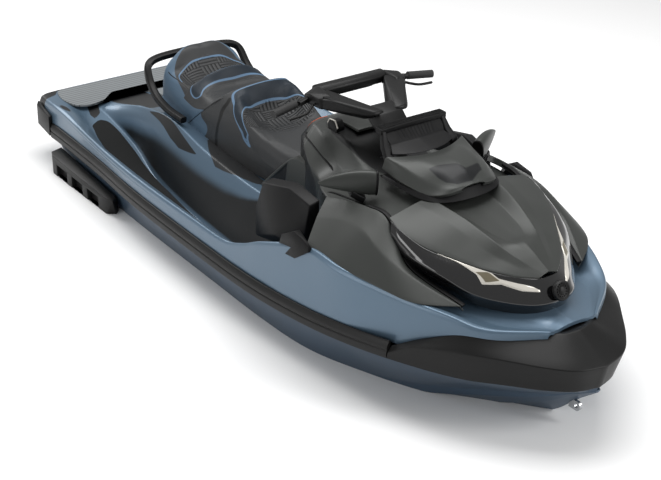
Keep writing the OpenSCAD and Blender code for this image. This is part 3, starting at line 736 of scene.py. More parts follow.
railBlack = baseMaterial("railBlack", "151515", specular=0.25, rough=0.42, grain=1200, bump=0.2)
buildRails()
for label in sides:
    refine(label + "_stern_bumper", blackPlastic, "craft", 0.008, label + "SternBumper")
print("bumpers and rails")

# seats

seatShape = dict(steps=18, cols=12, ribDepth=2.2, ribEdge=0.12)
# x of the top and of the foot, half width, z of five lines from the centre out, z of the foot
rearRows = [
    [-1045, -1030, 150, 475, 474, 470, 465, 455, 388], [-1030, -1015, 196, 668, 660, 625, 590, 540, 400],
    [-995, -1000, 212, 702, 697, 662, 628, 585, 418], [-945, -965, 215, 640, 636, 612, 600, 565, 421],
    [-884, -930, 215, 598, 600, 590, 585, 545, 421], [-810, -905, 215, 582, 583, 582, 575, 530, 417],
    [-768, -892, 215, 592, 592, 588, 575, 528, 415], [-740, -880, 215, 668, 655, 622, 590, 530, 412],
    [-700, -855, 215, 600, 602, 600, 580, 530, 408], [-640, -840, 214, 585, 588, 590, 578, 535, 404],
    [-570, -822, 213, 605, 606, 602, 590, 550, 398], [-497, -806, 212, 648, 648, 640, 615, 565, 394]]
frontRows = [
    [-492, -803, 212, 650, 650, 642, 615, 565, 394], [-458, -790, 211, 684, 676, 655, 612, 560, 390],
    [-422, -762, 210, 580, 588, 628, 605, 555, 388], [-380, -700, 209, 550, 556, 596, 590, 540, 386],
    [-330, -620, 208, 533, 538, 572, 570, 518, 382], [-270, -520, 206, 527, 530, 548, 545, 490, 375],
    [-180, -360, 200, 525, 526, 532, 520, 460, 364], [-90, -200, 188, 524, 524, 522, 505, 448, 362],
    [0, -50, 172, 526, 526, 522, 500, 446, 368], [60, 50, 158, 533, 533, 526, 505, 450, 378],
    [105, 105, 150, 545, 545, 532, 512, 460, 382]]


def seatGrid(rows):
    # rows along the seat and seven section lines smoothed both ways; u counts rows, v counts lines
    fineRows = smoothRows(rows, seatShape["steps"])
    top, foot, w = fineRows[:, 0], fineRows[:, 1], fineRows[:, 2]
    z = fineRows[:, 3:8]
    zb = fineRows[:, 8]
    ys = np.stack([0 * w, w * 0.4, w * 0.7, w * 0.88, w * 0.97, w, w * 0.995], 1)
    zs = np.stack([z[:, 0], z[:, 1], z[:, 2], z[:, 3], z[:, 4], (z[:, 4] + zb) / 2 + 10, zb - 4], 1)
    side = np.stack([ys, zs], 2)
    mirrorSide = side[:, 1:2] * np.array([-1, 1])
    columns = np.swapaxes(np.concatenate([mirrorSide, side], 1), 0, 1).reshape(8, -1)
    fineCols = smoothRows(columns, seatShape["cols"])[seatShape["cols"]:]
    half = np.swapaxes(fineCols.reshape(-1, len(fineRows), 2), 0, 1)
    t = np.minimum(1, (half[..., 1] - zb[:, None]) / (z[:, :1] - zb[:, None]))
    x = foot[:, None] + (top - foot)[:, None] * t
    half = np.concatenate([x[..., None], half], 2)
    u = np.arange(len(fineRows)) / seatShape["steps"]
    v = np.arange(half.shape[1]) / seatShape["cols"]
    return half, np.broadcast_to(u[:, None], half.shape[:2]), np.broadcast_to(v[None], half.shape[:2]), zb


stuffing = dict(pressure=3.0, frames=12, cap=3.5 * mm, stitch=0.1, hem=5.2, stiffness=20)


def stuff(piece):
    # the cover is blown up against its stitch lines; no point moves further than the cap
    mesh = piece.data
    count = len(mesh.vertices)
    start = np.empty(count * 3)
    mesh.vertices.foreach_get("co", start)
    start = start.reshape(-1, 3)

    def values(key):
        out = np.empty(count, np.float32)
        mesh.attributes[key].data.foreach_get("value", out)
        return out
    stitch = stuffing["stitch"]
    stitched = (np.abs(values("navy")) < stitch) | (values("seam") < stitch) | (values("insert") > 0)
    stitched |= values("across") > stuffing["hem"]
    normals = np.empty(count * 3, np.float32)
    mesh.vertices.foreach_get("normal", normals)
    stitched |= normals.reshape(-1, 3)[:, 2] < -0.3
    group = piece.vertex_groups.new(name="stitched")
    group.add(np.nonzero(stitched)[0].tolist(), 1.0, "REPLACE")
    cloth = piece.modifiers.new("cover", "CLOTH")
    cloth.settings.quality = 4
    cloth.settings.tension_stiffness = cloth.settings.compression_stiffness = stuffing["stiffness"]
    cloth.settings.use_pressure = True
    cloth.settings.uniform_pressure_force = stuffing["pressure"]
    cloth.settings.vertex_group_mass = "stitched"
    cloth.settings.effector_weights.gravity = 0
    cloth.collision_settings.use_collision = False
    for frameNumber in range(1, stuffing["frames"] + 1):
        scene.frame_set(frameNumber)
    end = np.empty(count * 3)
    piece.evaluated_get(bpy.context.evaluated_depsgraph_get()).data.vertices.foreach_get("co", end)
    move = end.reshape(-1, 3) - start
    size = np.linalg.norm(move, axis=1, keepdims=True) + 1e-12
    move *= np.minimum(1, stuffing["cap"] / size)
    piece.modifiers.remove(cloth)
    scene.frame_set(1)
    piece.vertex_groups.clear()
    mesh.vertices.foreach_set("co", (start + move).ravel())
    mesh.update()
    print("cover of", piece.name, "moved up to", round(float(np.abs(move).max() * 1000), 2), "mm")


def buildSeat(name, rows, node, regions, seams, cords):
    # the crowned form with its ribbed insert sunk in, sewn lines as attributes, then stuffed
    half, u, v, zb = seatGrid(rows)
    normal = gridNormals(half)
    masks = {key: signedTo(u, v, smoothOutline(polygon)) for key, polygon in regions.items()}
    sunk = seatShape["ribDepth"] * np.clip(masks["insert"] / seatShape["ribEdge"], 0, 1)
    half = half - normal * sunk[..., None]
    full = mirrored(half)
    bottom = full.copy()
    bottom[..., 0] = half[:, -1:, 0]
    bottom[..., 2] = np.minimum((zb - 6)[:, None], full[..., 2] - 1)
    verts, faces = shell(full * mm, bottom * mm)

    def both(values):
        values = np.concatenate([values[:, :0:-1], values], axis=1).ravel()
        return np.concatenate([values, values])
    attributes = {key: both(m) for key, m in masks.items()}
    seams = [smoothOutline(line, False) for line in seams]
    cords = [smoothOutline(line, False) for line in cords]
    seam = np.min([curveDistance(u, v, line) for line in seams], axis=0)
    attributes["seam"] = both(seam)
    attributes["cord"] = both(np.min([curveDistance(u, v, line) for line in cords], axis=0))
    attributes["across"] = both(v)
    attributes["along"] = both(u)
    piece = makePiece(name, verts, faces, vinyl, "craft", (node,), sharp=50, merge=0.00002,
                      attributes=attributes)
    stuff(piece)


# areas and sewn lines of the covers, as row along the seat and line down from the centre
rearRegions = dict(
    navy=[(6.95, -0.5), (6.95, 1.2), (6.85, 2.0), (6.9, 2.7), (7.4, 3.3), (8.1, 3.5), (8.3, 3.1), (7.9, 2.3),
          (7.7, 1.2), (7.68, -0.5)],
    blue=[(-1, -0.5), (1.6, -0.5), (1.7, 0.3), (1.88, 1.0), (2.15, 1.5), (2.45, 2.05), (3.0, 2.6),
          (4.2, 3.25), (5.4, 3.7), (7.2, 4.05), (8.8, 4.4), (12.0, 4.8), (12.0, 7.5), (-1, 7.5)],
    insert=[(2.9, -0.5), (2.92, 0.6), (2.98, 1.1), (3.15, 1.7), (3.4, 2.25), (3.8, 2.6), (4.6, 2.8),
            (6.0, 2.7), (6.5, 1.9), (6.7, 1.0), (6.7, -0.5)])
frontRegions = dict(
    navy=[(0.95, -0.5), (0.98, 0.7), (1.05, 1.8), (1.47, 2.51), (2.25, 3.37), (3.25, 3.78), (4.68, 3.86),
          (5.6, 3.9), (4.68, 3.6), (3.75, 3.25), (3.09, 2.7), (2.54, 1.93), (1.95, 1.1), (1.78, 0.4),
          (1.78, -0.5)],
    blue=[(-0.5, 4.5), (0.4, 4.6), (1.0, 4.8), (1.53, 5.02), (2.3, 5.25), (2.96, 5.49), (3.5, 5.9),
          (3.7, 6.6), (-0.5, 6.6)],
    insert=[(1.82, -0.5), (1.84, 0.4), (2.0, 1.06), (2.6, 1.86), (3.12, 2.6), (3.78, 3.1), (4.39, 3.05),
            (4.87, 2.19), (5.02, 1.2), (5.18, 0.6), (5.17, -0.5)])
cordLines = dict(
    rear=[rearRegions["navy"] + rearRegions["navy"][:1],
          [(2.9, -1), (2.92, 0.6), (2.98, 1.1), (3.15, 1.7), (3.4, 2.3), (3.8, 2.68), (4.2, 2.8)]],
    front=[frontRegions["navy"]])
seamLines = dict(
    rear=[[(11, -1), (11, 8)], [(2.6, 3.3), (4.2, 2.95), (6.2, 3.1), (7.0, 3.0)]],
    front=[[(0, -1), (0, 8)],
           [(1.31, 2.49), (1.45, 2.93), (1.69, 3.83), (2.2, 4.57), (3.33, 5.15), (4.62, 5.8), (5.2, 6.6)]])


def seatColours():
    tree = vinyl.node_tree
    overlayColor(vinyl, attributeMask(tree, "blue", -0.015, 0.015), "4B5F71")
    overlayColor(vinyl, attributeMask(tree, "navy", -0.015, 0.015), "1A232C")
    overlayColor(vinyl, attributeMask(tree, "seam", 0.09, 0.04), "050505")
    # a light cord follows the edge of the navy panels
    overlayColor(vinyl, attributeMask(tree, "cord", 0.07, 0.045), "56708A")


def buildRibGroup():
    # raised ribs that run along and across in turn, cell by cell, as a height and a painted shade for the
    # grooves
    group, inside, outside = newGroup(
        "ribbedInsert", [("Along", "NodeSocketFloat", 0.0), ("Across", "NodeSocketFloat", 0.0),
                         ("Cell Along", "NodeSocketFloat", 1.0), ("Cell Across", "NodeSocketFloat", 1.0),
                         ("Ribs", "NodeSocketFloat", 6.0)],
        [("Height", "NodeSocketFloat"), ("Painted Groove Shade", "NodeSocketFloat")])
    u = math2(group, "DIVIDE", inside.outputs["Along"], inside.outputs["Cell Along"])
    v = math2(group, "ADD", math2(group, "DIVIDE", inside.outputs["Across"], inside.outputs["Cell Across"]),
              0.5)
    turn = math2(group, "PINGPONG", math2(group, "ADD", math2(group, "FLOOR", u), math2(group, "FLOOR", v)),
                 1.0)
    across = math2(group, "FRACT", math2(group, "MULTIPLY", v, inside.outputs["Ribs"]))
    along = math2(group, "FRACT", math2(group, "MULTIPLY", u, inside.outputs["Ribs"]))
    both = math2(group, "ADD", math2(group, "MULTIPLY", across, turn),
                 math2(group, "MULTIPLY", along, math2(group, "SUBTRACT", 1.0, turn)))
    # 0 in the middle of a rib, 1 in the groove
    edge = math2(group, "MULTIPLY", math2(group, "ABSOLUTE", math2(group, "SUBTRACT", both, 0.5)), 2.0)
    groove = math2(group, "POWER", edge, 2.5)
    group.links.new(math2(group, "SUBTRACT", 1.0, groove), outside.inputs["Height"])
    group.links.new(groove, outside.inputs["Painted Groove Shade"])
    return group


ribPattern = dict(cell=1.15, ribs=5, depth=0.0035)  # cell in rows and lines of the seat


def ribInserts():
    tree = vinyl.node_tree
    shader = tree.nodes["Principled BSDF"]
    node = tree.nodes.new("ShaderNodeGroup")
    node.node_tree = buildRibGroup()
    for label, key in (("Along", "along"), ("Across", "across")):
        source = tree.nodes.new("ShaderNodeAttribute")
        source.attribute_name = key
        tree.links.new(source.outputs["Fac"], node.inputs[label])
    node.inputs["Cell Along"].default_value = ribPattern["cell"]
    node.inputs["Cell Across"].default_value = ribPattern["cell"]
    node.inputs["Ribs"].default_value = ribPattern["ribs"]
    inside = attributeMask(tree, "insert", 0.04, 0.1)
    # painted shade: the grooves between the ribs are darkened to near black
    overlayColor(vinyl, math2(tree, "MULTIPLY", node.outputs["Painted Groove Shade"], inside), "08090A")
    old = shader.inputs["Normal"].links[0].from_node
    bump = tree.nodes.new("ShaderNodeBump")
    bump.inputs["Strength"].default_value = 0.8
    bump.inputs["Distance"].default_value = ribPattern["depth"]
    tree.links.new(math2(tree, "MULTIPLY", node.outputs["Height"], inside), bump.inputs["Height"])
    tree.links.new(old.outputs["Normal"], bump.inputs["Normal"])
    tree.links.new(bump.outputs["Normal"], shader.inputs["Normal"])


seatColours()
ribInserts()
buildSeat("rearSeatCover", rearRows, "rear_seat", rearRegions, seamLines["rear"], cordLines["rear"])
buildSeat("frontSeatCover", frontRows, "front_seat", frontRegions, seamLines["front"], cordLines["front"])
print("seats")

# panels

def inkedCopy(material, name, key, low, high, color):
    # the same material with one region, read from an attribute, in a second colour
    copy = material.copy()
    copy.name = name
    overlayColor(copy, attributeMask(copy.node_tree, key, low, high), color)
    return copy


def sweptBox(path, size, radius, up=(0, 0, 1)):
    # rounded rectangle carried along a path; size is width and height, one pair or one per point
    path = np.asarray(path, float)
    size = np.broadcast_to(np.asarray(size, float), (len(path), 2))
    tangent = np.gradient(path, axis=0)
    tangent /= np.linalg.norm(tangent, axis=1, keepdims=True)
    side = np.cross(tangent, up)
    side /= np.linalg.norm(side, axis=1, keepdims=True)
    over = np.cross(side, tangent)
    corners = np.array([(-0.5, -0.5), (0.5, -0.5), (0.5, 0.5), (-0.5, 0.5)])
    pts = (path[:, None] + side[:, None] * (corners[None, :, :1] * size[:, None, :1])
           + over[:, None] * (corners[None, :, 1:] * size[:, None, 1:]))
    return closedLoft(loopCorners(pts, radius, 3, 1) * mm)


def joinMeshes(parts):
    # several closed shells as one mesh
    verts, faces = [], []
    for v, f in parts:
        faces += [[int(i) + len(verts) for i in face] for face in f]
        verts += [tuple(p) for p in np.asarray(v)]
    return verts, faces


def patch(lines, radii, steps=6, arc=4, flat=4):
    # surface through long lines given as lists of points, rounded where it crosses the inner ones
    grid = np.swapaxes(np.array(lines, float), 0, 1)
    rows = smoothRows(grid.reshape(len(grid), -1), steps).reshape(-1, len(lines), 3)
    return roundCorners(rows, radii, arc, flat)


def thickPatch(grid, depth, away):
    # the same surface again, one depth behind, on the side away from the given direction
    normal = gridNormals(grid)
    middle = normal[len(grid) // 2, grid.shape[1] // 2]
    sign = 1 if middle @ np.array(away, float) > 0 else -1
    return shell(grid * mm, (grid - sign * depth * normal) * mm)


def twoSided(name, grid, depth, away, material, node, sharp):
    # the port patch and its mirror image, each as a thin panel
    for label, flip in sides.items():
        verts, faces = thickPatch(grid * flip, depth, np.array(away, float) * flip)
        makePiece(label + name, verts, faces, material, "craft", (label + "_" + node,), sharp)


# lower edge, crease and upper edge of the side panel, from the stern forward
panelLines = dict(
    low=[(662, 566, 513), (740, 561, 499), (863, 546, 490), (1040, 500, 473), (1145, 460, 459),
         (1210, 398, 452), (1267, 314, 447)],
    crease=[(600, 474, 582), (716, 436, 606), (840, 434, 604), (930, 440, 577), (1010, 425, 547),
            (1110, 388, 508), (1266, 312, 449)],
    top=[(552, 392, 625), (650, 374, 646), (760, 358, 658), (850, 346, 655), (935, 352, 598),
         (1040, 372, 520), (1265, 309, 448)])


def buildSidePanels():
    # surface through the three lines, its edges turned in
    low, crease, top = (np.array(panelLines[k], float) for k in ("low", "crease", "top"))
    under = low + (-4, -14, -8)
    inner = top + (0, -16, -22)
    twoSided("Panel", patch([under, low, crease, top, inner], (0, 4, 13, 5, 0), 8, 5, 6), 5, (0, 1, 1),
             greyPanel, "side_panel", 36)
    # black gap between the panel and the hood
    gap = smoothRows(top[2:], 6) + (0, -14, -4)
    for label, flip in sides.items():
        verts, faces = sweptBox(gap * flip, (20, 12), 3)
        makePiece(label + "PanelGap", verts, faces, darkPlastic, "craft", sharp=34)


buildSidePanels()

# x, then y and z of the recess floor, ridge, outer crease and edge of the hood
hoodLines = [
    [880, 0, 662, 108, 662, 158, 690, 218, 682, 345, 655],
    [960, 0, 650, 104, 652, 150, 686, 206, 676, 350, 632],
    [1060, 0, 636, 86, 638, 130, 668, 186, 655, 320, 603],
    [1150, 0, 620, 68, 622, 112, 640, 162, 620, 264, 580],
    [1205, 0, 612, 46, 613, 100, 620, 142, 600, 226, 567],
    [1250, 0, 614, 34, 611, 86, 600, 122, 582, 194, 558],
    [1300, 0, 597, 24, 592, 66, 581, 94, 568, 150, 549],
    [1345, 0, 575, 16, 571, 44, 563, 66, 555, 104, 541],
    [1388, 0, 554, 6, 552, 18, 549, 30, 545, 46, 539]]


def buildHood():
    # a rounded section carried along the lines, its edge turned down
    rows = smoothRows(hoodLines, 7)
    pts = rows[:, 1:].reshape(len(rows), 5, 2)
    edge = pts[:, 4:] + np.array([-6, -20])
    half = roundCorners(np.concatenate([pts, edge], 1), (0, 4, 3, 7, 3, 0), 4, 4)
    half = atStations(rows[:, 0], half)
    verts, faces = thickPatch(mirrored(half), 5, (0, 0, 1))
    makePiece("hoodCover", verts, faces, greyPanel, "craft", ("hood",), 30)
    # dark bed closing the hood's rear end
    ends = (-340, 0, 340)
    bed = patch([[(868, y, 640) for y in ends], [(868, y, 676 - abs(y) * 0.09) for y in ends],
                 [(900, y, 672 - abs(y) * 0.09) for y in ends]], (0, 3, 0), 8)
    verts, faces = thickPatch(bed, 6, (0, 0, 1))
    makePiece("hoodBed", verts, faces, darkPlastic, "craft")


buildHood()

# upper and lower edge of the black nose band, from its aft end on the port side to the stem
fasciaLines = dict(
    top=[(900, 352, 652), (960, 350, 634), (1060, 320, 600), (1170, 250, 571), (1270, 180, 551),
         (1340, 108, 539), (1384, 50, 536), (1392, 0, 536)],
    low=[(925, 372, 582), (985, 371, 560), (1075, 358, 553), (1165, 322, 530), (1262, 258, 480),
         (1356, 180, 463), (1435, 96, 462), (1462, 0, 466)])
bandRadii = (0, 3, 60, 9, 0)


def fasciaGrid():
    # the band's surface across both sides, bulged between its edges and tucked in behind them; its foot, 50
    # mm down behind the lower edge, is a black sheet put in for the shade in the gap between the band and the
    # deck
    top, low = (np.array(fasciaLines[k], float) for k in ("top", "low"))
    out = low - top
    out[:, 2] = 0
    out /= np.linalg.norm(out, axis=1, keepdims=True) + 1e-9
    bulge = (top + low) / 2 + out * 7 + (0, 0, 6)
    tuck = top - out * 10 + (0, 0, -3)
    # the foot is a black sheet standing in for the shade under the band's overhang
    foot = low - out * 24 + (0, 0, -50)
    lines = []
    for line in (tuck, top, bulge, low, foot):
        other = line[-2::-1] * np.array([1, -1, 1])
        lines.append(np.concatenate([line, other]))
    return patch(lines, bandRadii, 10, 6, 6)


def buildFascia():
    grid = fasciaGrid()
    verts, faces = thickPatch(grid, 4, (0, 0, 1))
    makePiece("noseBand", verts, faces, glossBlack, "craft", ("nose_fascia",), 34)
    buildLights(grid)


# edges of the light strips: station along the band, then share of its height from the upper edge
lightEdges = dict(
    upper=[(2.4, 0.01), (2.55, 0.01), (3.0, 0.02), (3.5, 0.02), (3.9, 0.03), (4.4, 0.28), (5.8, 0.41),
           (6.12, 0.47)],
    lower=[(2.42, 0.03), (2.65, 0.06), (3.1, 0.17), (3.7, 0.37), (4.1, 0.52), (4.62, 0.44), (5.4, 0.5),
           (6.14, 0.51)],
    shaded=[(3.62, 0.30), (3.95, 0.11), (4.5, 0.38), (4.15, 0.47)])


def buildLights(grid):
    # strips laid on the band, swelling away from their edges
    upper, lower, shaded = (lightEdges[key] for key in ("upper", "lower", "shaded"))
    stops = np.linspace(0, len(upper) - 1, (len(upper) - 1) * 8 + 1)
    above, below = (np.stack([np.interp(stops, range(len(e)), [q[k] for q in e]) for k in (0, 1)], 1)
                    for e in (upper, lower))
    t = np.linspace(0, 1, 9)[None, :, None]
    strip = above[:, None] * (1 - t) + below[:, None] * t
    shade = signedTo(strip[..., 0], strip[..., 1], shaded)
    lamp = inkedCopy(trimSilver, "lampTrim", "shade", -0.008, 0.008, "6E6755")
    rows, cols = grid.shape[:2]
    normal = gridNormals(grid)
    if normal[rows // 2, cols // 2, 2] < 0:
        normal = -normal
    knots = lineStops(bandRadii, 6, 6)
    v = np.interp(strip[..., 1], [0, 0.5, 1], [knots[1], knots[2], knots[3]])
    edge = np.ones(strip.shape[:2])
    edge[[0, -1]] = 0
    edge[:, [0, -1]] = 0
    for side, label in ((0, "port"), (1, "starboard")):
        s = strip[..., 0] * 10
        if side:
            s = rows - 1 - s
        lift = sampleGrid(normal, s, v)
        place = sampleGrid(grid, s, v) + lift * (edge * 2.6 + 0.1)[..., None]
        verts, faces = shell(place * mm, (place - lift * 3) * mm)
        makePiece(label + "Light", verts, faces, lamp, "craft", (label + "_headlight",), 40,
                  attributes=dict(shade=np.concatenate([shade.ravel()] * 2)))


def lineStops(radii, arc, flat):
    # column of each rounded line in a patch
    stops, count = [0], 0
    for _ in radii[1:-1]:
        count += flat + arc + 1
        stops.append(count - arc // 2)
    stops.append(count + flat + 1)
    return stops


def sampleGrid(grid, s, v):
    # values of a grid at fractional rows and columns
    rows, cols = grid.shape[:2]
    s, v = np.clip(s, 0, rows - 1.001), np.clip(v, 0, cols - 1.001)
    i, j = s.astype(int), v.astype(int)
    a, b = (s - i)[..., None], (v - j)[..., None]
    return (grid[i, j] * (1 - a) * (1 - b) + grid[i + 1, j] * a * (1 - b)
            + grid[i, j + 1] * (1 - a) * b + grid[i + 1, j + 1] * a * b)


buildFascia()


def lathe(profile, centre, axis, sides=48):
    # a profile of radius and height turned about an axis
    axis = np.array(axis, float) / np.linalg.norm(axis)
    u = np.cross(axis, (0.1, 0.9, 0.3))
    u /= np.linalg.norm(u)
    v = np.cross(axis, u)
    a = np.linspace(0, 2 * math.pi, sides, endpoint=False)
    rings = np.array([[np.array(centre) + h * axis + r * (math.cos(t) * u + math.sin(t) * v) for t in a]
                      for r, h in profile])
    return closedLoft(rings * mm), u, v, axis


capShape = dict(
    centre=(1453, 0, 505), axis=(0.927, 0, 0.375), studs=14, studRing=23,
    profile=[(36, -4), (39, 0), (39, 12), (37, 15), (32, 16), (28, 13), (18, 12), (15, 15), (10, 16.5),
             (0.5, 17)])


def buildNoseCap():
    # turned cap with a ring of small studs
    c = capShape
    (verts, faces), u, v, axis = lathe(c["profile"], c["centre"], c["axis"])
    verts, faces = list(verts), list(faces)
    for k in range(c["studs"]):
        t = 2 * math.pi * k / c["studs"]
        at = np.array(c["centre"]) + 12.5 * axis + c["studRing"] * (math.cos(t) * u + math.sin(t) * v)
        (more, extra), _, _, _ = lathe([(2.8, 0), (2.8, 2.5), (1.7, 3.6), (0.2, 3.8)], at, axis, 10)
        faces += [[i + len(verts) for i in f] for f in extra]
        verts += list(more)
    makePiece("noseCap", verts, faces, blackPlastic, "craft", ("nose_cap",), 40)


buildNoseCap()
print("nose")

# console and covers

# x, crest half width, foot half width, heights of the centre, crest and foot, lowest
consoleLines = [
    [26, 96, 134, 664, 650, 624, 606], [62, 120, 166, 708, 692, 650, 580],
    [112, 140, 196, 728, 716, 650, 560], [135, 146, 208, 732, 717, 641, 382],
    [150, 150, 216, 734, 716, 632, 382],
    [225, 172, 240, 732, 702, 600, 382], [330, 190, 270, 722, 655, 580, 382],
    [430, 215, 330, 690, 630, 590, 388], [560, 225, 370, 660, 635, 600, 430],
    [700, 225, 366, 662, 640, 610, 446], [872, 225, 340, 662, 645, 615, 452]]


# black areas of the console: one seen from above, one strip down its aft edge seen from the side
consoleWell = [(150, 0), (150, 86), (195, 112), (234, 138), (295, 145), (355, 149), (447, 151), (519, 142),
               (560, 130), (640, 122), (640, 0)]
consoleEdge = [(0, 800), (46, 780), (66, 720), (92, 684), (146, 638), (209, 601), (250, 576), (286, 552),
               (316, 500), (320, 360), (0, 340)]
# opposite corners of the glovebox and of the storage tub
consoleCuts = [((178, -58, 560), (318, 58, 860)), ((575, -150, 490), (845, 150, 790))]


def buildConsole():
    # a crested section carried along the lines, over a flat underside
    rows = smoothRows(consoleLines, 8)
    x, y1, y2, zc, z1, z2, zb = rows.T
    corners = ((0 * x, zc), (y1 * 0.7, zc), (y1, z1), (y2, z2), (y2 + 2, zb - 8))
    pts = np.stack([np.stack(c, 1) for c in corners], 1)
    half = roundCorners(pts, (0, 16, 9, 7, 0), 5, 5)
    half = atStations(x, half)
    full = mirrored(half)
    bottom = full.copy()
    bottom[..., 2] = np.minimum(zb[:, None] - 10, full[..., 2] - 2)
    bottom[..., 1] *= 0.98
    verts, faces = shell(full * mm, bottom * mm)
    black = np.maximum(signedTo(full[..., 0], np.abs(full[..., 1]), consoleWell),
                       signedTo(full[..., 0], full[..., 2], consoleEdge)) / 10
    paint = inkedCopy(greyPanel, "consolePaint", "black", -0.15, 0.15, "08090A")
    piece = makePiece("consoleBody", verts, faces, paint, "craft", ("console",), 34,
                      attributes=dict(black=topOnly(black, 5)))
    subtract(piece, [boxCorners(low, high) for low, high in consoleCuts])
    return full


consoleTop = buildConsole()
# black joints between the covers, on both sides
seamPaths = dict(
    ConsoleSeam=[(104, 172, 682), (120, 182, 671), (174, 194, 663), (226, 204, 654), (286, 211, 639),
                 (358, 223, 626), (420, 238, 606)],
    CoverSeam=[(456, 341, 583), (499, 328, 603), (588, 322, 614), (687, 308, 622)])


def buildSeams():
    for name, path in seamPaths.items():
        for label, flip in sides.items():
            verts, faces = sweptBox(smoothRows(path, 6) * flip, (9, 5), 1.5)
            makePiece(label + name, verts, faces, darkPlastic, "craft", sharp=34)


buildSeams()
kneeUpper = [(-152, 356), (-81, 424), (-6, 497), (66, 560), (120, 592), (168, 588), (214, 520), (238, 440)]
kneeLower = [(-152, 348), (-80, 352), (0, 356), (120, 366), (238, 378)]
kneeInset = [(-84, 404), (-13, 472), (50, 534), (45, 495), (39, 450), (40, 417), (-20, 401)]


kneeShape = dict(aft=-152, fore=238, back=213, face=222, crown=5, edge=7, sink=3)


def buildKneePanels():
    # side plate between the seat and the footwell, crowned from its edges, with a dark inset sunk in
    k = kneeShape
    x = np.linspace(k["aft"], k["fore"], 66)[:, None]
    t = np.linspace(0, 1, 26)[None]
    high, low = spread(x, *kneeUpper), spread(x, *kneeLower)
    z = low * (1 - t) + high * t
    edge = np.minimum(np.minimum(t * (high - low), (1 - t) * (high - low)),
                      np.minimum(x - k["aft"], k["fore"] - x))
    inset = signedTo(x + 0 * t, z, kneeInset) / 10
    y = k["face"] + k["crown"] * np.clip(edge / k["edge"], 0, 1)**0.5 - k["sink"] * np.clip(inset / 0.4, 0, 1)
    paint = inkedCopy(greyPanel, "kneePaint", "inset", -0.1, 0.1, "0B0C0D")
    front = np.stack([x + 0 * t, y, z], 2)
    back = np.stack([x + 0 * t, y * 0 + k["back"], z], 2)
    for label, flip in sides.items():
        verts, faces = shell(front * flip * mm, back * flip * mm)
        makePiece(label + "KneePanel", verts, faces, paint, "craft", sharp=34,
                  attributes=dict(inset=np.concatenate([inset.ravel()] * 2)))


buildKneePanels()

# x, then y and z from the centre out; the rear edge sweeps aft towards its ends
cowlLines = [
    [722, 0, 780, 105, 782, 196, 784, 206, 735], [780, 0, 794, 110, 790, 178, 768, 206, 724],
    [850, 0, 792, 100, 782, 160, 750, 194, 714], [905, 0, 774, 80, 760, 130, 734, 168, 706],
    [942, 0, 747, 55, 742, 96, 733, 128, 716], [957, 0, 738, 26, 737, 46, 733, 62, 726]]


# smoked part of the cowl seen from above
cowlTint = [(826, -118), (836, -72), (862, -10), (896, 10), (876, 92), (906, 86), (946, 2), (938, -64),
            (908, -98), (876, -112)]


def buildCowl():
    # a rounded section carried along the lines, its aft corners swept back
    rows = smoothRows(cowlLines, 8)
    pts = rows[:, 1:].reshape(len(rows), 4, 2)
    under = pts[:, 3:] + np.array([-10, -10])
    half = roundCorners(np.concatenate([pts, under], 1), (0, 18, 10, 4, 0), 5, 5)
    x = np.broadcast_to(rows[:, :1, None], half.shape[:2] + (1,))
    fade = np.clip((962 - x) / 240, 0, 1)
    x = x - 61 * (half[..., :1] / 196)**2 * fade
    grid = mirrored(np.concatenate([x, half], 2))
    verts, faces = thickPatch(grid, 5, (0, 0, 1))
    smoky = signedTo(grid[..., 0], grid[..., 1], cowlTint) / 10
    paint = inkedCopy(greyPanel, "cowlPaint", "smoky", -0.3, 0.3, "0E1012")
    makePiece("cowlCover", verts, faces, paint, "storage_cover", ("storage_lid",), 34,
              attributes=dict(smoky=np.concatenate([smoky.ravel()] * 2)))
    # black tray under its front
    edges = [[(640, 196, 690), (760, 204, 694), (880, 190, 690), (950, 130, 688), (974, 0, 688)],
             [(640, 188, 700), (760, 196, 708), (868, 176, 712), (924, 98, 719), (944, 0, 722)],
             [(640, 160, 698), (760, 170, 702), (850, 140, 706), (900, 80, 710), (912, 0, 712)]]
    tray = patch([[(x, -y, z) for x, y, z in e] + e[-2::-1] for e in edges], (0, 3, 0), 6)
    verts, faces = thickPatch(tray, 4, (0, 0, 1))
    makePiece("cowlTray", verts, faces, darkPlastic, "storage_cover")


buildCowl()


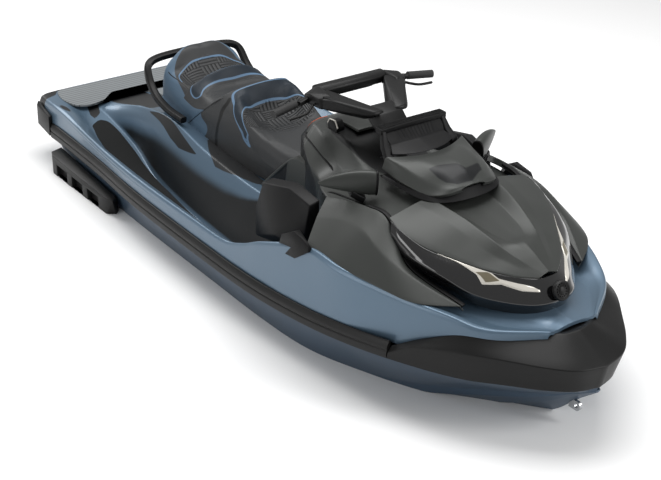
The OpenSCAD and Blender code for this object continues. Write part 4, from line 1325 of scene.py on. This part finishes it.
def buildVisor():
    # panel folded across three bends, with a grooved band, a top bar, two struts and fine ribs
    ys = np.linspace(-150, 150, 61)
    k = np.abs(ys) / 150
    wave = 1.6 * (np.sin(ys * 2 * math.pi / 7) > 0) * (np.abs(ys) < 96)
    top = np.stack([584 + 0 * ys, ys, 848 + 0 * ys], 1)
    mid = np.stack([632 - 14 * k, ys * 0.9, 806 - 2 * k], 1)
    foot = np.stack([708 - 52 * k * k, ys * 1.04, 784 - 2 * k], 1)
    back = np.stack([590 - 8 * k, ys * 1.04, 740 + 0 * k], 1)
    grid = roundCorners(np.swapaxes(np.array([top, mid, foot, back]), 0, 1), (0, 4, 5, 0), 3, 5)
    normal = gridNormals(grid)
    if normal[30, 3, 0] < 0:
        normal = -normal
    cols = grid.shape[1]
    band = np.zeros(cols)
    band[1:6] = 1
    fineYs = np.repeat(wave[:, None], cols, 1) * band[None]
    face = thickPatch(grid + normal * fineYs[..., None], 4, (1, 0, 1))
    bar = sweptBox([(574, y, 857 - 4 * (abs(y) / 165)**2) for y in np.linspace(-166, 166, 23)], (34, 24), 5)
    struts = [sweptBox([(582, s * 150, 848), (606, s * 158, 800), (640, s * 166, 770), (650, s * 170, 742)],
                       [(22, 20), (26, 30), (22, 36), (16, 30)], 5, (0, 1, 0)) for s in (-1, 1)]
    ribs = [sweptBox([(x, -160, 868.5), (x, 0, 870), (x, 160, 868.5)], (2.4, 2.4), 0.6)
            for x in range(558, 594, 6)]
    verts, faces = joinMeshes([face, bar, *struts, *ribs])
    makePiece("instrumentHood", verts, faces, darkPlastic, "storage_cover", ("instrument_visor",),
              34)


buildVisor()


mirrorShape = dict(tip=(578, 456, 708), head=(688, 262, 702), tall=46, wide=22, square=0.82, floor=-0.9)


def buildMirrors():
    # a section that swells from the tip to the head, a little squarer than an ellipse, flat below
    m = mirrorShape
    t = np.linspace(0, 1, 26)
    tip, head = (np.array(m[key], float) for key in ("tip", "head"))
    path = tip + (head - tip) * t[:, None]
    path[:, 2] += 6 * np.sin(t * math.pi)
    swell = np.sin(np.minimum(t / 0.94, 1) * math.pi / 2)
    tall = 5 + m["tall"] * swell**0.8
    wide = 4 + m["wide"] * swell**0.9
    tall[-3:] *= (1.0, 0.99, 0.96)
    axis = (head - tip) / np.linalg.norm(head - tip)
    side = np.cross(axis, (0, 0, 1))
    side /= np.linalg.norm(side)
    over = np.cross(side, axis)
    a = np.linspace(0, 2 * math.pi, 36, endpoint=False)
    c, s = np.cos(a), np.sin(a)
    cx, sy = np.sign(c) * np.abs(c)**m["square"], np.sign(s) * np.abs(s)**m["square"]
    ring = (path[:, None] + side * (wide[:, None] * cx)[..., None]
            + over * (tall[:, None] * np.maximum(sy, m["floor"]))[..., None])
    rimSteps = ((-1, 0.0), (0, 0.06), (5, 0.07), (8, 0.0), (8, -0.3))
    rim = np.array([ring[-1] + axis * d + (ring[-1] - path[-1]) * k for d, k in rimSteps])
    arm = [(640, 345, 668), (652, 322, 650), (664, 300, 636)]
    for label, flip in sides.items():
        verts, faces = closedLoft(ring * flip * mm)
        makePiece(label + "MirrorPod", verts, faces, greyPanel, "craft", (label + "_mirror",),
                  40)
        verts, faces = joinMeshes([closedLoft(rim * flip * mm),
                                   sweptBox(np.array(arm) * flip, (46, 26), 6)])
        makePiece(label + "MirrorRim", verts, faces, darkPlastic, "craft", sharp=34)


buildMirrors()
print("console, cowl and mirrors")

# mats and handle

def padSheet(name, outline, rows, material, node, thick, lift):
    # strip between two edges given along x, laid over the deck; outline is x, inner y, outer y
    fineRows = smoothRows(outline, rows)
    t = np.linspace(0, 1, 13)
    y = fineRows[:, 1:2] * (1 - t) + fineRows[:, 2:3] * t
    x = np.broadcast_to(fineRows[:, :1], y.shape)
    z = np.array([np.interp(yy, *deckProfile(xx[0])) for xx, yy in zip(x, y)])
    top = np.stack([x, y, z + lift], 2)
    low = top - (0, 0, thick)
    for label, flip in sides.items():
        verts, faces = shell(top * flip * mm, low * flip * mm)
        makePiece(label + name, verts, faces, material, "craft", (label + "_" + node,), 40, bevel=0.002)


# x, inner and outer y of the footwell mat
footMatRows = [
    [-1340, 374, 392], [-1318, 350, 432], [-1280, 338, 446], [-1200, 332, 462], [-1060, 342, 476],
    [-900, 368, 480], [-700, 388, 486], [-400, 416, 492], [-100, 440, 496], [180, 448, 498]]
# half outline of the platform mat from its aft middle, and the radius at each corner
platformOutline = [
    (-1682, 0), (-1682, 426), (-1657, 446), (-1562, 471), (-1452, 446), (-1420, 378), (-1443, 296),
    (-1500, 236), (-1520, 206), (-1474, 118), (-1438, 58), (-1400, 46), (-1180, 44), (-1150, 30), (-1150, 0)]
platformRadii = (0, 22, 12, 50, 30, 40, 20, 30, 16, 30, 20, 10, 8, 10, 0)


def buildPlatformMat():
    # the outline in four rings, from its underside to its rounded top edge, then filled across
    half = roundCorners(np.array(platformOutline, float)[None], platformRadii, 6, 4)[0]
    ring = np.concatenate([half, half[-2:0:-1] * (1, -1)])
    centre = np.array([-1520.0, 0.0])
    rings = []
    for inset, up in ((4, -6), (0, -4), (0, 3), (2.5, 5)):
        toward = centre - ring
        toward /= np.linalg.norm(toward, axis=1, keepdims=True)
        p = ring + toward * inset
        base = np.where(p[:, 0] > -1420, 322 + (p[:, 0] + 1420) * 0.17, 321.5)
        rings.append(np.column_stack([p, base + up]))
    verts = np.concatenate(rings)
    n = len(ring)
    faces = [[k * n + i, k * n + (i + 1) % n, (k + 1) * n + (i + 1) % n, (k + 1) * n + i]
             for k in range(3) for i in range(n)]
    # the top is filled strip by strip between the two sides
    m = len(half)
    top = 3 * n
    faces += [[top + i, top + i + 1, top + (n - i - 1) % n, top + (n - i) % n] for i in range(m - 1)]
    faces += [[(n - i) % n, (n - i - 1) % n, i + 1, i] for i in range(m - 1)]
    faces = [list(dict.fromkeys(f)) for f in faces]
    makePiece("platformMat", verts * mm, [f for f in faces if len(f) > 2], grooved, "craft",
              ("platform_mat",), 40)


def buildGroovedMat():
    # fine grooves along the mat, their shade painted as darker grey lines
    copy = matGrey.copy()
    copy.name = "groovedMat"
    tree = copy.node_tree
    coord = tree.nodes.new("ShaderNodeTexCoord")
    wave = tree.nodes.new("ShaderNodeTexWave")
    wave.bands_direction = "X"
    wave.inputs["Scale"].default_value = 14
    wave.inputs["Distortion"].default_value = 1.2
    wave.inputs["Detail Scale"].default_value = 0.6
    tree.links.new(coord.outputs["Object"], wave.inputs["Vector"])
    groove = tree.nodes.new("ShaderNodeMapRange")
    groove.inputs["From Min"].default_value = 0.86
    tree.links.new(wave.outputs["Fac"], groove.inputs["Value"])
    # painted shade: darker grey lines where the grooves run
    overlayColor(copy, groove.outputs["Result"], "3F4243")
    return copy


grooved = buildGroovedMat()
padSheet("FootMat", footMatRows, 5, matBlack, "footwell_mat", 7, 5)
buildPlatformMat()


# half of the grab bar's centre line
handlePath = [(-735, 262, 458), (-850, 270, 470), (-945, 273, 498), (-1012, 270, 545), (-1052, 262, 600),
              (-1072, 240, 626), (-1084, 190, 638), (-1090, 90, 642)]
handleShape = dict(bar=(34, 30), leg=(26, 12), legX=-1094, legY=70)


def buildHandle():
    # a bar round the back of the seat, on two legs
    s = handleShape
    path = smoothRows(handlePath + [(x, -y, z) for x, y, z in handlePath[::-1]], 6)
    bar = sweptBox(path, s["bar"], 10, (0.2, 0, 1))
    legs = [sweptBox([(s["legX"], y, z) for z in (385, 520, 640)], s["leg"], 3, (1, 0, 0))
            for y in (-s["legY"], s["legY"])]
    verts, faces = joinMeshes([bar, *legs])
    makePiece("grabBar", verts, faces, blackPlastic, "craft", ("grab_handle",), 34)


buildHandle()
print("mats and handle")

refine("glovebox_lid", greyPanel, "glovebox", 0.004, "gloveboxCover")


stripeShape = dict(path=[(52, 126), (70, 116), (84, 100), (92, 80), (95, 56)], half=3.4, proud=1.4)


def buildStripes(around):
    # two curved orange bands behind the glovebox, as high as the console's nearest points
    orange = baseMaterial("orangeBand", "D2592A", rough=0.5, bump=0.0)
    around = around.reshape(-1, 3)
    path = smoothRows(stripeShape["path"], 6)
    turn = np.gradient(path, axis=0)
    turn /= np.linalg.norm(turn, axis=1, keepdims=True)
    out = np.stack([-turn[:, 1], turn[:, 0]], 1)
    half = stripeShape["half"]
    flat = path[:, None] + out[:, None] * np.linspace(-half, half, 3)[None, :, None]
    far = np.hypot(flat[..., :1] - around[:, 0], flat[..., 1:] - around[:, 1])
    near = np.argsort(far, axis=2)[..., :4]
    weight = 1 / (np.take_along_axis(far, near, 2) + 0.5)**2
    z = (around[near, 2] * weight).sum(2) / weight.sum(2)
    grid = np.concatenate([flat, z[..., None] + stripeShape["proud"]], 2)
    for label, flip in sides.items():
        verts, faces = shell(grid * flip * mm, (grid - (0, 0, 3)) * flip * mm)
        makePiece(label + "Stripe", verts, faces, orange, "craft")


buildStripes(consoleTop)


def blockMesh(corners, bevel):
    # convex block through corner points with rounded edges, as metres
    work = bmesh.new()
    for corner in corners:
        work.verts.new([v * mm for v in corner])
    bmesh.ops.convex_hull(work, input=work.verts)
    bmesh.ops.dissolve_limit(work, angle_limit=math.radians(4), verts=work.verts, edges=work.edges)
    bmesh.ops.delete(work, geom=[v for v in work.verts if not v.link_faces], context="VERTS")
    bmesh.ops.bevel(work, geom=work.edges[:], offset=bevel * mm, segments=2, profile=0.5, affect="EDGES",
                    clamp_overlap=True)
    work.verts.index_update()
    verts = np.array([v.co[:] for v in work.verts])
    faces = [[v.index for v in face.verts] for face in work.faces]
    work.free()
    return verts, faces


# the bar's blocks as x, y and z of half their corners; x and z only where both ends have one width
barBlocks = dict(
    neck=[(476, 66, 752), (392, 70, 806), (346, 62, 848), (384, 56, 872), (446, 60, 856), (508, 66, 790)],
    pad=[(136, 866), (136, 900), (158, 912), (190, 912), (206, 898), (206, 866)],
    padFoot=[(140, 128, 874), (200, 128, 874), (142, 104, 853), (186, 104, 853)],
    shoulder=[(150, 156, 856), (150, 160, 904), (184, 170, 914), (262, 172, 906), (300, 158, 868),
              (290, 176, 846), (168, 232, 852), (172, 236, 890), (206, 234, 902), (258, 226, 892),
              (268, 222, 850)],
    arm=[(380, 26, 824), (446, 28, 864), (378, 80, 814), (448, 90, 848), (438, 80, 870), (200, 150, 856),
         (204, 150, 904), (270, 216, 850), (262, 214, 900), (300, 180, 852), (296, 170, 894)],
    stub=[(183, 190, 876), (193, 240, 871), (203, 282, 866)])
steeringColumn = dict(lean=35, radius=38, foot=(475, 725), heights=(-108, 0, 68), padHalf=172)


def buildHandlebar():
    # convex blocks mirrored across y = 0, on a leaning round column
    b, c = barBlocks, steeringColumn
    parts = [blockMesh([(x, s * y, z) for s in (-1, 1) for x, y, z in b["neck"]], 7),
             blockMesh([(x, s * c["padHalf"], z) for s in (-1, 1) for x, z in b["pad"]], 6),
             blockMesh([(x, s * y, z) for s in (-1, 1) for x, y, z in b["padFoot"]], 6)]
    for s in (-1, 1):
        parts.append(blockMesh([(x, s * y, z) for x, y, z in b["shoulder"]], 7))
        parts.append(blockMesh([(x, s * y, z) for x, y, z in b["arm"]], 7))
        parts.append(sweptBox([(x, s * y, z) for x, y, z in b["stub"]], (22, 22), 8))
    lean = math.radians(c["lean"])
    x, z = c["foot"]
    circle = [(c["radius"] * math.cos(a), c["radius"] * math.sin(a))
              for a in np.linspace(0, 2 * math.pi, 32, endpoint=False)]
    column = [[(x + u * math.cos(lean) - h * math.sin(lean), v, z + u * math.sin(lean) + h * math.cos(lean))
               for u, v in circle] for h in c["heights"]]
    parts.append(closedLoft(np.array(column) * mm))
    verts, faces = joinMeshes(parts)
    makePiece("handlebarCover", verts, faces, blackPlastic, "steering", ("handlebar",), 34)


buildHandlebar()


def buildTrimPod():
    # small control pod beside the glovebox lid
    outline = [(200, 712), (198, 748), (212, 768), (244, 770), (262, 742), (262, 704)]
    verts, faces = blockMesh([(x, y, z) for y in (-132, -88) for x, z in outline], 5)
    makePiece("trimPod", verts, faces, darkPlastic, "craft", sharp=34)
    mark = ((201, -120, 722), (201, -113, 722), (200.4, -100, 752), (200.4, -107, 752))
    verts, faces = blockMesh([(x + dx, y, z) for dx in (0, -2.5) for x, y, z in mark], 0.6)
    rim = sweptBox([(198, -128, 716), (196, -128, 748), (208, -128, 770), (246, -128, 772), (264, -128, 744)],
                   (5, 4), 1)
    verts, faces = joinMeshes([(verts, faces), rim])
    makePiece("trimPodMark", verts, faces, trimSilver, "craft")


buildTrimPod()
for label in sides:
    refine(label + "_speaker", darkPlastic, "craft", 0.012, label + "SpeakerPod")
    refine(label + "_vent", darkPlastic, "craft", 0.004, label + "VentFrame")
    refine(label + "_sponson", blackPlastic, "craft", 0.006, label + "SponsonBody")
print("handlebar, lids and side pods")
